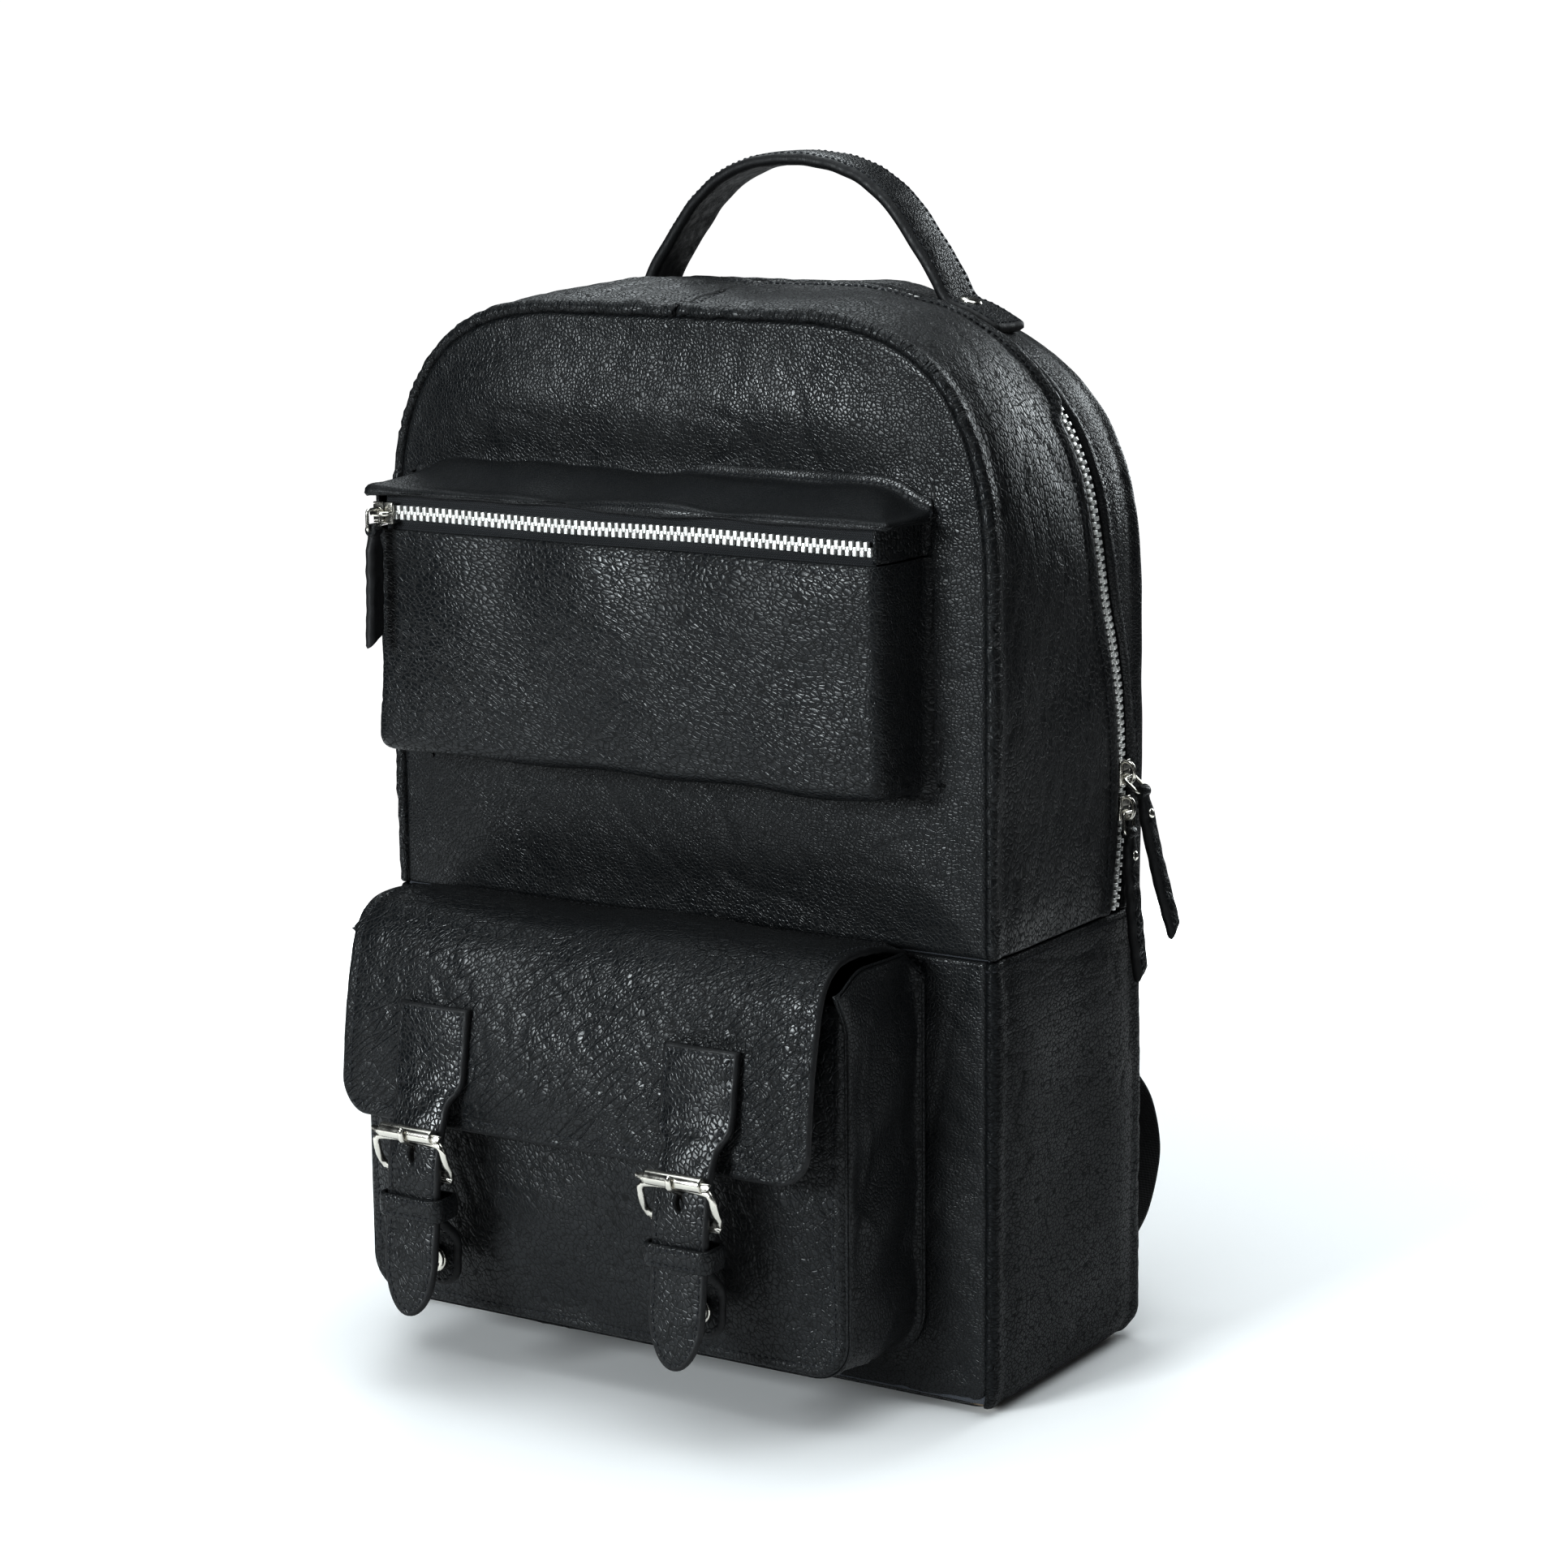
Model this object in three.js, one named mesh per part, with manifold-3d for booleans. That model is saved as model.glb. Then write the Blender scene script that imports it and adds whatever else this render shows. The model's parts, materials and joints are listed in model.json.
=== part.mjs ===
// A leather laptop backpack with a buckled lower pocket, a zipped upper pocket, a
// zipper over the top of the body, a leather handle and two padded shoulder straps.
// Millimetres. +Z is up, -Y is the front, and the origin is the middle of the underside.
import * as THREE from "three";
import { mergeVertices } from "three/addons/utils/BufferGeometryUtils.js";
import Module from "manifold-3d";

const wasm = await Module();
wasm.setup();

// ---- Driving dimensions ----------------------------------------------------

const GAP = 0.3; // air between neighbouring pieces
const LEATHER = 1.8; // one layer of body leather

const BODY = {
  halfWidth: 147,
  halfDepth: 62,
  seam: 189, // height of the seam between the lower and the upper panels
  straight: 308, // height where the zipper leaves its arc
  top: 441, // height of the top at its front and back edges
  crown: 5, // how much higher the top is in the middle of the depth
};

// The upper corners are wider at the front outline than at the back one.
const CORNER = {
  front: { shoulder: 330, flat: 60, rise: 80, reach: 120, drop: 2 },
  back: { shoulder: 320, flat: 40, rise: 75, reach: 115, drop: 18 },
};

// The side stretches of the main zipper follow one arc about an axis along X.
const ARC = { y: -154, z: 240, radius: 200 };
const ZIP = {
  chainHalf: 2.9,
  chainThick: 3,
  chainInset: 1,
  leatherHalf: 6.5, // from the middle of the chain to the edge of the leather
  tapeHalf: 13,
  tapeThick: 0.8,
  topY: 14, // the zipper's place over the top of the body
  bendLength: 62, // length of zipper that leads from the arc to the top stretch
  bendY: 24,
};

const UPPER_POCKET = {
  x: -5,
  halfWidth: 126,
  depth: 36,
  bottom: 253,
  frontTop: 348,
  zipZ: 354.8,
  hoodLip: 361.5,
  hoodTop: 372,
  bulge: 2.5,
  corner: 12,
};
const LOWER_POCKET = {
  x: -6,
  halfWidth: 117,
  depth: 56,
  bottom: 26,
  top: 178,
  bulge: 12,
  corner: 16,
};
const FLAP = { x: -5, halfWidth: 114, thick: 3, corner: 14 };
// Side view of the flap's outer face: distance in front of the body, and height.
const FLAP_PROFILE = [
  [81, 111],
  [79, 137],
  [75, 163],
  [68, 187],
  [54, 198],
  [28, 198],
  [1, 191],
];

const STRAP = { offsets: [-65, 65], thick: 4, tabHalf: 17.5, half: 13, tip: 36, slot: [98.9, 108.4] };
const SLOT_HALF = 2.1; // half the width of the slots that the prongs go through
// Side view of a closing strap's outer face, from the tip up to the sewn end.
const STRAP_PROFILE = [
  [102, 36],
  [99.6, 60],
  [97.2, 80],
  [96.4, 95],
  [93.2, 112],
  [88.5, 124],
  [84.4, 135],
  [82, 148],
  [79.9, 162],
];
const BUCKLE = {
  wire: 1.5,
  halfWidth: 16.5,
  rollerHalf: 13,
  rollerRadius: 3.1,
  top: [98.4, 112.5], // distance in front of the body, and height, of the roller's axis
  bar: [88.8, 93], // the same for the lower bar that the prong turns on
};
const CHAPE = { half: 9.5, thick: 4.4, snapZ: 54, snapFace: 77.8, end: 42 };
const SNAP = { radius: 5.6, capThick: 1.8, seat: 67.2 };
const KEEPER = { wall: 1.9, front: 98, low: 76.5, high: 86 };

const HANDLE = {
  y: 36,
  half: 12.5,
  thick: 5.5,
  footThick: 4,
  footInner: 64,
  footOuter: 100,
};
const RIVET = { x: 79, radius: 5, thick: 1.4 };
// Front view of the outer face of the handle's arch, right half.
const HANDLE_PROFILE = [
  [70.5, 450.5],
  [64.5, 459],
  [50, 478.5],
  [25, 494.5],
  [0, 498],
];

const SLIDER = { half: 4.5, length: 11, plate: 1.4, bail: 6.4, bailWidth: 2.2, wire: 1.3 };
const LINK_PIVOT = { out: 3, down: 1.6 }; // where a link hangs in its slider's bail
const LINK = { inner: 6.8, wire: 1.5, length: 8.5 };
const PULL = { thick: 4.4, width: 9, neck: 6, length: 62 };
const UPPER_SLIDER = { z: 247, linkTilt: 50, pullTilt: 10 };
const LOWER_SLIDER = { z: 232, linkTilt: 6, pullTilt: 4 };
// crossing is how far in front of the chain the link's inner side passes under the bail.
const POCKET_SLIDER = { x: -121, pullLength: 49, crossing: 3.65 };

// Middle line of the outer face of the right shoulder pad: x, y, z, half width, thickness.
const PAD_ROUTE = [
  [101, 86, 140, 21, 8],
  [97, 89, 165, 24, 12],
  [87, 92, 215, 28, 13],
  [73, 93, 275, 30, 13],
  [60, 90, 330, 31, 13],
  [49, 81, 378, 31, 10],
  [44, 70, 404, 31, 5],
];
// Middle line of the outer face of the right lower webbing.
const WEBBING_ROUTE = [
  [131, 65.5, 40],
  [129, 84, 50],
  [125, 101, 70],
  [118, 106, 92],
  [110, 98, 110],
  [104.5, 87, 124],
];
const WEBBING = { half: 12.5, thick: 2 };
const ADJUSTER = {
  place: [102, 91.2, 140],
  lean: 8, // degrees that it leans back
  splay: 12, // degrees that it turns outward
  half: 17,
  halfHeight: 11,
  thick: 4,
  rim: 3.5,
  slotZ: 5.2,
  slotHalf: 3.2,
};

const BASE = { inset: 2, thick: 2, boardInset: 4, boardTop: 4.3 };
const FOAM = { inset: 5, bottom: 8, thick: 8 };
const LINING = { floor: 5, wall: 1, thick: 0.8, backGap: 24 };
// Side view of the laptop sleeve's face: height, and how far its middle sags towards the front.
const SLEEVE_PROFILE = [
  [9, 0],
  [120, 1.5],
  [240, 1.5],
  [338, 0],
];
const SLEEVE = { y: 40, half: 132, thick: 4 };

// ---- Materials -------------------------------------------------------------

function finish(color, roughness, metalness) {
  return new THREE.MeshStandardMaterial({ color, roughness, metalness });
}

const leather = () => finish(0x15171a, 0.5, 0);
const edgeLeather = () => finish(0x101114, 0.55, 0);
const fabric = () => finish(0x24262a, 0.9, 0);
const liningCloth = () => finish(0x3a3d42, 0.95, 0);
const foam = () => finish(0x2a2c30, 0.95, 0);
const board = () => finish(0x4b4238, 0.85, 0);
const plastic = () => finish(0x0c0c0d, 0.4, 0);
const nickel = () => finish(0xd6d2c8, 0.22, 1);

// ---- Helpers ---------------------------------------------------------------

const lerp = THREE.MathUtils.lerp;
const rad = THREE.MathUtils.degToRad;
const vec = (x, y, z) => new THREE.Vector3(x, y, z);

// The model's y of a point that lies a distance in front of the body.
const ahead = (distance) => -BODY.halfDepth - distance;

function named(name, geometry, material) {
  const mesh = new THREE.Mesh(geometry, material);
  mesh.name = name;
  return mesh;
}

function toSolid(geometry) {
  const bare = geometry.clone();
  bare.deleteAttribute("normal");
  bare.deleteAttribute("uv");
  const merged = mergeVertices(bare, 1e-4);
  return new wasm.Manifold(
    new wasm.Mesh({
      numProp: 3,
      vertProperties: merged.attributes.position.array,
      triVerts: new Uint32Array(merged.index.array),
    }),
  );
}

function toGeometry(solid) {
  const mesh = solid.getMesh();
  const geometry = new THREE.BufferGeometry();
  geometry.setAttribute("position", new THREE.BufferAttribute(mesh.vertProperties, 3));
  geometry.setIndex(new THREE.BufferAttribute(mesh.triVerts, 1));
  geometry.computeVertexNormals();
  return geometry;
}

function weld(...geometries) {
  return toGeometry(geometries.map(toSolid).reduce((sum, next) => sum.add(next)));
}

function cut(geometry, ...tools) {
  return toGeometry(tools.map(toSolid).reduce((rest, tool) => rest.subtract(tool), toSolid(geometry)));
}

// A sheet of leather or cloth. rows is a grid of points on its outer face, and the sheet is
// thickness deep behind it; a loop closes on itself from the last row to the first.
function thickSheet(rows, thickness, loop = false) {
  const m = rows.length;
  const n = rows[0].length;
  const depth = typeof thickness === "function" ? thickness : () => thickness;
  const clamp = THREE.MathUtils.clamp;
  const at = (i, j) => rows[loop ? (i + m) % m : clamp(i, 0, m - 1)][clamp(j, 0, n - 1)];
  const outer = [];
  const inner = [];
  for (let i = 0; i < m; i++) {
    for (let j = 0; j < n; j++) {
      const along = at(i + 1, j).clone().sub(at(i - 1, j));
      const across = at(i, j + 1).clone().sub(at(i, j - 1));
      const normal = across.cross(along).normalize();
      outer.push(at(i, j).toArray());
      inner.push(at(i, j).clone().addScaledVector(normal, -depth(i, j)).toArray());
    }
  }
  const index = [];
  const quad = (a, b, c, d) => index.push(a, b, c, a, c, d);
  const under = m * n;
  const lastRow = loop ? m : m - 1;
  for (let i = 0; i < lastRow; i++) {
    for (let j = 0; j < n - 1; j++) {
      const a = i * n + j;
      const b = ((i + 1) % m) * n + j;
      quad(a, a + 1, b + 1, b);
      quad(under + a, under + b, under + b + 1, under + a + 1);
    }
    const left = i * n;
    const nextLeft = ((i + 1) % m) * n;
    quad(left, nextLeft, under + nextLeft, under + left);
    quad(left + n - 1, under + left + n - 1, under + nextLeft + n - 1, nextLeft + n - 1);
  }
  if (!loop) {
    for (let j = 0; j < n - 1; j++) {
      const end = (m - 1) * n + j;
      quad(j, under + j, under + j + 1, j + 1);
      quad(end, end + 1, under + end + 1, under + end);
    }
  }
  const geometry = new THREE.BufferGeometry();
  geometry.setAttribute("position", new THREE.Float32BufferAttribute([...outer, ...inner].flat(), 3));
  geometry.setIndex(index);
  geometry.computeVertexNormals();
  return geometry;
}

function box(x, y, z) {
  const geometry = new THREE.BoxGeometry(x[1] - x[0], y[1] - y[0], z[1] - z[0]);
  return geometry.translate((x[0] + x[1]) / 2, (y[0] + y[1]) / 2, (z[0] + z[1]) / 2);
}

// A closed outline in the XZ plane, as a plate that reaches from yFront to yBack.
function plate(points, yFront, yBack) {
  const shape = new THREE.Shape(points.map(([x, z]) => new THREE.Vector2(x, z)));
  const geometry = new THREE.ExtrudeGeometry(shape, { depth: yBack - yFront, bevelEnabled: false });
  return geometry.rotateX(Math.PI / 2).translate(0, yBack, 0);
}

// Adds a rectangle to a shape or to a hole's path, counterclockwise.
function rectangle(path, left, right, low, high) {
  path.moveTo(left, low);
  path.lineTo(right, low);
  path.lineTo(right, high);
  path.lineTo(left, high);
  path.closePath();
  return path;
}

// A shape drawn in the side view (x of the shape is y, y of the shape is z), extruded along X.
function sideways(shape, half, curveSegments = 10) {
  const options = { depth: 2 * half, bevelEnabled: false, curveSegments };
  const geometry = new THREE.ExtrudeGeometry(shape, options);
  return geometry.rotateZ(Math.PI / 2).rotateY(Math.PI / 2).translate(-half, 0, 0);
}

// Evenly spaced points on the smooth curve through a short list of [a, b] pairs.
function smooth(pairs, count) {
  const curve = new THREE.CatmullRomCurve3(
    pairs.map(([a, b]) => vec(a, b, 0)),
    false,
    "centripetal",
  );
  return curve.getSpacedPoints(count).map((p) => [p.x, p.y]);
}

// ---- The body's outline ----------------------------------------------------

const SIDE_STEPS = 12; // seam to the end of the arc
const SHOULDER_STEPS = 2;
const CORNER_STEPS = 12;
const TOP_STEPS = 4;
const HALF_STEPS = SIDE_STEPS + SHOULDER_STEPS + CORNER_STEPS + TOP_STEPS;

// The right half of the body's outline at depth y, from the seam to the middle of the top.
function halfOutline(y) {
  const back = (y + BODY.halfDepth) / (2 * BODY.halfDepth);
  const blend = (key) => lerp(CORNER.front[key], CORNER.back[key], back);
  const top = BODY.top + BODY.crown * (1 - (y / BODY.halfDepth) ** 2);
  const w = BODY.halfWidth;
  const corner = new THREE.CubicBezierCurve(
    new THREE.Vector2(w, blend("shoulder")),
    new THREE.Vector2(w, blend("shoulder") + blend("rise")),
    new THREE.Vector2(blend("reach"), top - blend("drop")),
    new THREE.Vector2(blend("flat"), top),
  );
  const points = [];
  for (let i = 0; i < SIDE_STEPS; i++) {
    points.push(new THREE.Vector2(w, lerp(BODY.seam, BODY.straight, i / SIDE_STEPS)));
  }
  for (let i = 0; i < SHOULDER_STEPS; i++) {
    points.push(new THREE.Vector2(w, lerp(BODY.straight, blend("shoulder"), i / SHOULDER_STEPS)));
  }
  points.push(...corner.getPoints(CORNER_STEPS).slice(0, -1));
  for (let i = 0; i <= TOP_STEPS; i++) {
    points.push(new THREE.Vector2(lerp(blend("flat"), 0, i / TOP_STEPS), top));
  }
  return points;
}

// Points and outward normals of the half outline at depth y, each moved in by inset.
function insetHalf(y, inset) {
  const points = halfOutline(y);
  return points.map((p, i) => {
    const before = points[Math.max(i - 1, 0)];
    const after = points[Math.min(i + 1, points.length - 1)];
    const last = i === points.length - 1;
    const tangent = last ? new THREE.Vector2(-1, 0) : after.clone().sub(before).normalize();
    return new THREE.Vector2(p.x - tangent.y * inset, p.y + tangent.x * inset);
  });
}

// A point of the body's surface: step runs 0..HALF_STEPS up the right half, on to
// 2 * HALF_STEPS down the left half.
function surface(step, y, inset = 0) {
  const mirrored = step > HALF_STEPS;
  const p = insetHalf(y, inset)[mirrored ? 2 * HALF_STEPS - step : step];
  return vec(mirrored ? -p.x : p.x, y, p.y);
}

// The middle of the main zipper at each step of the half outline: its y and its slope there.
const zipperLine = (() => {
  const line = [];
  const nominal = halfOutline(ZIP.bendY);
  const endDrop = Math.sqrt(ARC.radius ** 2 - (BODY.straight - ARC.z) ** 2);
  const startY = ARC.y + endDrop;
  const startSlope = -(BODY.straight - ARC.z) / endDrop;
  let travelled = 0;
  let rest = 0;
  for (let i = SIDE_STEPS + 1; i <= HALF_STEPS; i++) {
    rest += nominal[i].distanceTo(nominal[i - 1]);
  }
  for (let i = 0; i <= HALF_STEPS; i++) {
    const height = lerp(BODY.seam, BODY.straight, i / SIDE_STEPS);
    if (i <= SIDE_STEPS) {
      const chord = Math.sqrt(ARC.radius ** 2 - (height - ARC.z) ** 2);
      line.push({ y: ARC.y + chord, slope: -(height - ARC.z) / chord });
      continue;
    }
    travelled += nominal[i].distanceTo(nominal[i - 1]);
    const t = Math.min(travelled / ZIP.bendLength, 1);
    const ease = t * t * (3 - 2 * t);
    const lean = startSlope * ZIP.bendLength * t * (1 - t) ** 2;
    const over = Math.max(travelled - ZIP.bendLength, 0) / (rest - ZIP.bendLength);
    const bend = lerp(startY, ZIP.bendY, ease) + lean;
    line.push({ y: lerp(bend, ZIP.topY, Math.sin((over * Math.PI) / 2)), slope: 0 });
  }
  return line;
})();

// A place beside the main zipper: offset is measured square to the chain, + to the back.
function besideZipper(step, offset) {
  const { y, slope } = zipperLine[step > HALF_STEPS ? 2 * HALF_STEPS - step : step];
  return y + offset * Math.sqrt(1 + slope * slope);
}

// A band of the body's surface between two depths, from step first to step last.
function band(first, last, columns, yAt, inset, thickness) {
  const rows = [];
  for (let step = first; step <= last; step++) {
    const row = [];
    for (let j = 0; j <= columns; j++) {
      row.push(surface(step, yAt(step, j / columns), inset));
    }
    rows.push(row);
  }
  return thickSheet(rows, thickness);
}

// The whole outline above a height, as a closed list of [x, z], for flat panels.
function panelOutline(y, inset, bottom) {
  const half = insetHalf(y, inset).map((p) => [p.x, p.y]);
  const left = half
    .slice(0, -1)
    .reverse()
    .map(([x, z]) => [-x, z]);
  const foot = BODY.halfWidth - inset;
  return [[foot, bottom], ...half.slice(1), ...left.slice(0, -1), [-foot, bottom]];
}

// ---- Body shell ------------------------------------------------------------

const FRONT_EDGE = -BODY.halfDepth + LEATHER + GAP;
const BACK_EDGE = BODY.halfDepth - LEATHER - GAP;
const ALL_STEPS = 2 * HALF_STEPS;

function frontPanels() {
  const y = -BODY.halfDepth;
  const upper = plate(panelOutline(y, 0, BODY.seam + GAP), y, y + LEATHER);
  const w = BODY.halfWidth;
  const lower = box([-w, w], [y, y + LEATHER], [BASE.thick + GAP, BODY.seam]);
  return [named("front_panel_upper", upper, leather()), named("front_panel_lower", lower, leather())];
}

function frontGussets() {
  const yAt = (step, v) => lerp(FRONT_EDGE, besideZipper(step, -ZIP.leatherHalf), v);
  const right = band(0, HALF_STEPS, 3, yAt, 0, LEATHER);
  right.translate(GAP / 2, 0, 0);
  const left = band(HALF_STEPS, ALL_STEPS, 3, yAt, 0, LEATHER);
  left.translate(-GAP / 2, 0, 0);
  return [named("gusset_front_right", right, leather()), named("gusset_front_left", left, leather())];
}

function backStrip() {
  const yAt = (step, v) => lerp(besideZipper(step, ZIP.leatherHalf), BACK_EDGE, v);
  return named("gusset_back_strip", band(0, ALL_STEPS, 2, yAt, 0, LEATHER), leather());
}

function lowerSides() {
  const w = BODY.halfWidth;
  const z = [BASE.thick + GAP, BODY.seam - GAP];
  const right = box([w - LEATHER, w], [FRONT_EDGE, BACK_EDGE], z);
  const left = box([-w, LEATHER - w], [FRONT_EDGE, BACK_EDGE], z);
  return [
    named("side_panel_lower_right", right, leather()),
    named("side_panel_lower_left", left, leather()),
  ];
}

function base() {
  const w = BODY.halfWidth - BASE.inset;
  const d = BODY.halfDepth - BASE.inset;
  const panel = box([-w, w], [-d, d], [0, BASE.thick]);
  const boardHalf = w - BASE.boardInset;
  const boardDepth = d - BASE.boardInset - 1;
  const boardZ = [BASE.thick + GAP, BASE.boardTop];
  const stiffener = box([-boardHalf, boardHalf], [-boardDepth, boardDepth], boardZ);
  return [named("base_panel", panel, leather()), named("base_board", stiffener, board())];
}

function back() {
  const y = BODY.halfDepth;
  const panel = plate(panelOutline(y, 0, BASE.thick + GAP), y - LEATHER, y);
  const foamFace = y - LEATHER - GAP;
  const pad = plate(panelOutline(y, FOAM.inset, FOAM.bottom), y - LEATHER - 0.2 - FOAM.thick, foamFace);
  return [named("back_panel", panel, leather()), named("back_foam", pad, foam())];
}

// The lining is a bag of cloth: a wall behind the front panel and a ring that ends at the zipper.
function lining() {
  const inset = LEATHER + ZIP.tapeThick + 3 * GAP;
  const wallY = -BODY.halfDepth + LEATHER + GAP;
  const { floor } = LINING;
  const w = BODY.halfWidth - inset;
  const wall = plate(panelOutline(wallY, inset, floor), wallY, wallY + LINING.wall);
  const ringFront = wallY + LINING.wall / 2;
  const rows = [];
  for (let step = 0; step <= ALL_STEPS; step++) {
    const end = besideZipper(step, -ZIP.leatherHalf - 2);
    rows.push([surface(step, ringFront, inset), surface(step, end, inset)]);
  }
  const floorEnd = BODY.halfDepth - LINING.backGap;
  for (const x of [-w, w]) {
    rows.push([vec(x, ringFront, floor), vec(x, floorEnd, floor)]);
  }
  return named("lining", weld(wall, thickSheet(rows, LINING.thick, true)), liningCloth());
}

function laptopSleeve() {
  const { y, half, thick } = SLEEVE;
  const rows = SLEEVE_PROFILE.map(([z, sag]) => [vec(-half, y, z), vec(0, y - sag, z), vec(half, y, z)]);
  return named("laptop_sleeve", thickSheet(rows, thick), fabric());
}

// ---- Main zipper -----------------------------------------------------------

function mainZipper() {
  const chainYAt = (step, v) => besideZipper(step, lerp(-ZIP.chainHalf, ZIP.chainHalf, v));
  const chain = band(0, ALL_STEPS, 1, chainYAt, ZIP.chainInset, ZIP.chainThick);
  const inset = LEATHER + GAP;
  const near = ZIP.chainHalf + GAP;
  const frontYAt = (step, v) => besideZipper(step, lerp(-ZIP.tapeHalf, -near, v));
  const backYAt = (step, v) => Math.min(besideZipper(step, lerp(near, ZIP.tapeHalf, v)), BACK_EDGE);
  const front = band(0, ALL_STEPS, 1, frontYAt, inset, ZIP.tapeThick);
  const rear = band(0, ALL_STEPS, 1, backYAt, inset, ZIP.tapeThick);
  return [
    named("main_zipper_chain", chain, nickel()),
    named("main_tape_front", front, fabric()),
    named("main_tape_back", rear, fabric()),
  ];
}

// A slider lies along Z with its face to +X: plate, two flanges and the bail that holds the
// link. x = 0 is the outer face of the chain.
function sliderGeometry() {
  const s = SLIDER;
  const rise = GAP + s.plate;
  const h = s.length / 2;
  const plateBox = box([GAP, rise], [-s.half, s.half], [-h, h]);
  const flanges = [-1, 1].map((side) => {
    const y = [side * s.half, side * (s.half - 0.8)].sort((a, b) => a - b);
    return box([-0.7, rise - 0.2], y, [-h, h]);
  });
  const outline = new THREE.Shape();
  const reach = h - 0.4;
  outline.moveTo(rise - 0.3, -reach);
  outline.bezierCurveTo(rise + s.bail, -reach, rise + s.bail, reach, rise - 0.3, reach);
  outline.closePath();
  const hole = new THREE.Path();
  const inner = reach - s.wire;
  hole.moveTo(rise - 0.1, -inner);
  hole.bezierCurveTo(rise + s.bail - 1.7, -inner, rise + s.bail - 1.7, inner, rise - 0.1, inner);
  hole.closePath();
  outline.holes.push(hole);
  const options = { depth: s.bailWidth, bevelEnabled: false, curveSegments: 8 };
  const bail = new THREE.ExtrudeGeometry(outline, options);
  bail.rotateX(Math.PI / 2).translate(0, s.bailWidth / 2, 0);
  return weld(plateBox, ...flanges, bail);
}

// The link: a rectangle of wire in the YZ plane, hanging from the origin.
function linkGeometry() {
  const { inner, wire, length } = LINK;
  const half = inner / 2 + wire;
  const outline = rectangle(new THREE.Shape(), -half, half, -length - wire / 2, wire / 2);
  outline.holes.push(rectangle(new THREE.Path(), -inner / 2, inner / 2, wire / 2 - length, -wire / 2));
  return sideways(outline, wire / 2);
}

// A leather pull: folded round the link's lower bar at the origin, its width along Y.
function pullGeometry(length) {
  const { thick, width, neck } = PULL;
  const r = thick / 2;
  const head = new THREE.CylinderGeometry(r + 0.5, r + 0.5, neck, 16);
  const throat = box([-r, r], [-neck / 2, neck / 2], [-6, -1.5]);
  const tail = box([-r, r], [-width / 2, width / 2], [-length, -4.5]);
  const slant = box([-r - 1, r + 1], [-width, width], [-12, 0]);
  slant.rotateX(rad(35)).translate(0, 0, -length);
  const bore = new THREE.CylinderGeometry(1.3, 1.3, neck + 2, 16);
  return cut(weld(head, throat, tail), bore, slant);
}

// A slider, its link and its pull on the right-hand side stretch of the main zipper.
function mainSlider(which, { z, linkTilt, pullTilt }) {
  const turn = Math.asin((z - ARC.z) / ARC.radius);
  const along = new THREE.Group();
  along.position.set(
    BODY.halfWidth - ZIP.chainInset,
    ARC.y + ARC.radius * Math.cos(turn),
    ARC.z + ARC.radius * Math.sin(turn),
  );
  along.rotation.x = turn;
  along.add(named("main_slider_" + which, sliderGeometry(), nickel()));

  const hang = new THREE.Group();
  hang.position.set(LINK_PIVOT.out, 0, -LINK_PIVOT.down);
  hang.rotation.y = -rad(linkTilt);
  hang.add(named("main_link_" + which, linkGeometry(), nickel()));
  along.add(hang);

  const tab = new THREE.Group();
  tab.position.set(0, 0, -LINK.length);
  tab.rotation.y = rad(linkTilt - pullTilt);
  tab.add(named("main_pull_" + which, pullGeometry(PULL.length), edgeLeather()));
  hang.add(tab);
  return along;
}

// ---- Upper pocket ----------------------------------------------------------

// A U of leather, open at the top, with its back edge against the body.
function pocketGusset(name, { x, halfWidth, bottom, corner, depth }, top) {
  const r = corner;
  const u = new THREE.Shape();
  u.moveTo(-halfWidth, top);
  u.lineTo(-halfWidth, bottom + r);
  u.absarc(r - halfWidth, bottom + r, r, Math.PI, 1.5 * Math.PI);
  u.lineTo(halfWidth - r, bottom);
  u.absarc(halfWidth - r, bottom + r, r, 1.5 * Math.PI, 2 * Math.PI);
  u.lineTo(halfWidth, top);
  u.lineTo(halfWidth - LEATHER, top);
  u.lineTo(halfWidth - LEATHER, bottom + r);
  u.absarc(halfWidth - r, bottom + r, r - LEATHER, 2 * Math.PI, 1.5 * Math.PI, true);
  u.lineTo(r - halfWidth, bottom + LEATHER);
  u.absarc(r - halfWidth, bottom + r, r - LEATHER, 1.5 * Math.PI, Math.PI, true);
  u.lineTo(LEATHER - halfWidth, top);
  u.closePath();
  const length = depth - LEATHER - 2 * GAP;
  const geometry = new THREE.ExtrudeGeometry(u, { depth: length, bevelEnabled: false, curveSegments: 5 });
  geometry.rotateX(Math.PI / 2).translate(x, ahead(GAP), 0);
  return named(name, geometry, leather());
}

// The half width of a panel with two rounded lower corners, at a height above its bottom.
function cornerHalf(halfWidth, corner, height) {
  if (height >= corner) return halfWidth;
  return halfWidth - corner + Math.sqrt(corner ** 2 - (corner - height) ** 2);
}

// A crowned panel of leather with two rounded lower corners; depth is that of its border.
function crownedPanel({ x, halfWidth, corner }, bottom, top, depth, bulge) {
  const heights = [0, 0.04, 0.15, 0.35, 0.65, 1].map((t) => t * corner);
  for (let i = 1; i <= 9; i++) {
    heights.push(lerp(corner, top - bottom, i / 9));
  }
  const rows = heights.map((height) => {
    const half = cornerHalf(halfWidth, corner, height);
    const rise = Math.sin((Math.PI * height) / (top - bottom)) ** 0.8;
    const row = [];
    for (let j = -6; j <= 6; j++) {
      const u = Math.sin((j / 6) * (Math.PI / 2));
      row.push(vec(x + u * half, ahead(depth + bulge * rise * (1 - u ** 4)), bottom + height));
    }
    return row;
  });
  return thickSheet(rows, LEATHER);
}

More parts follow.
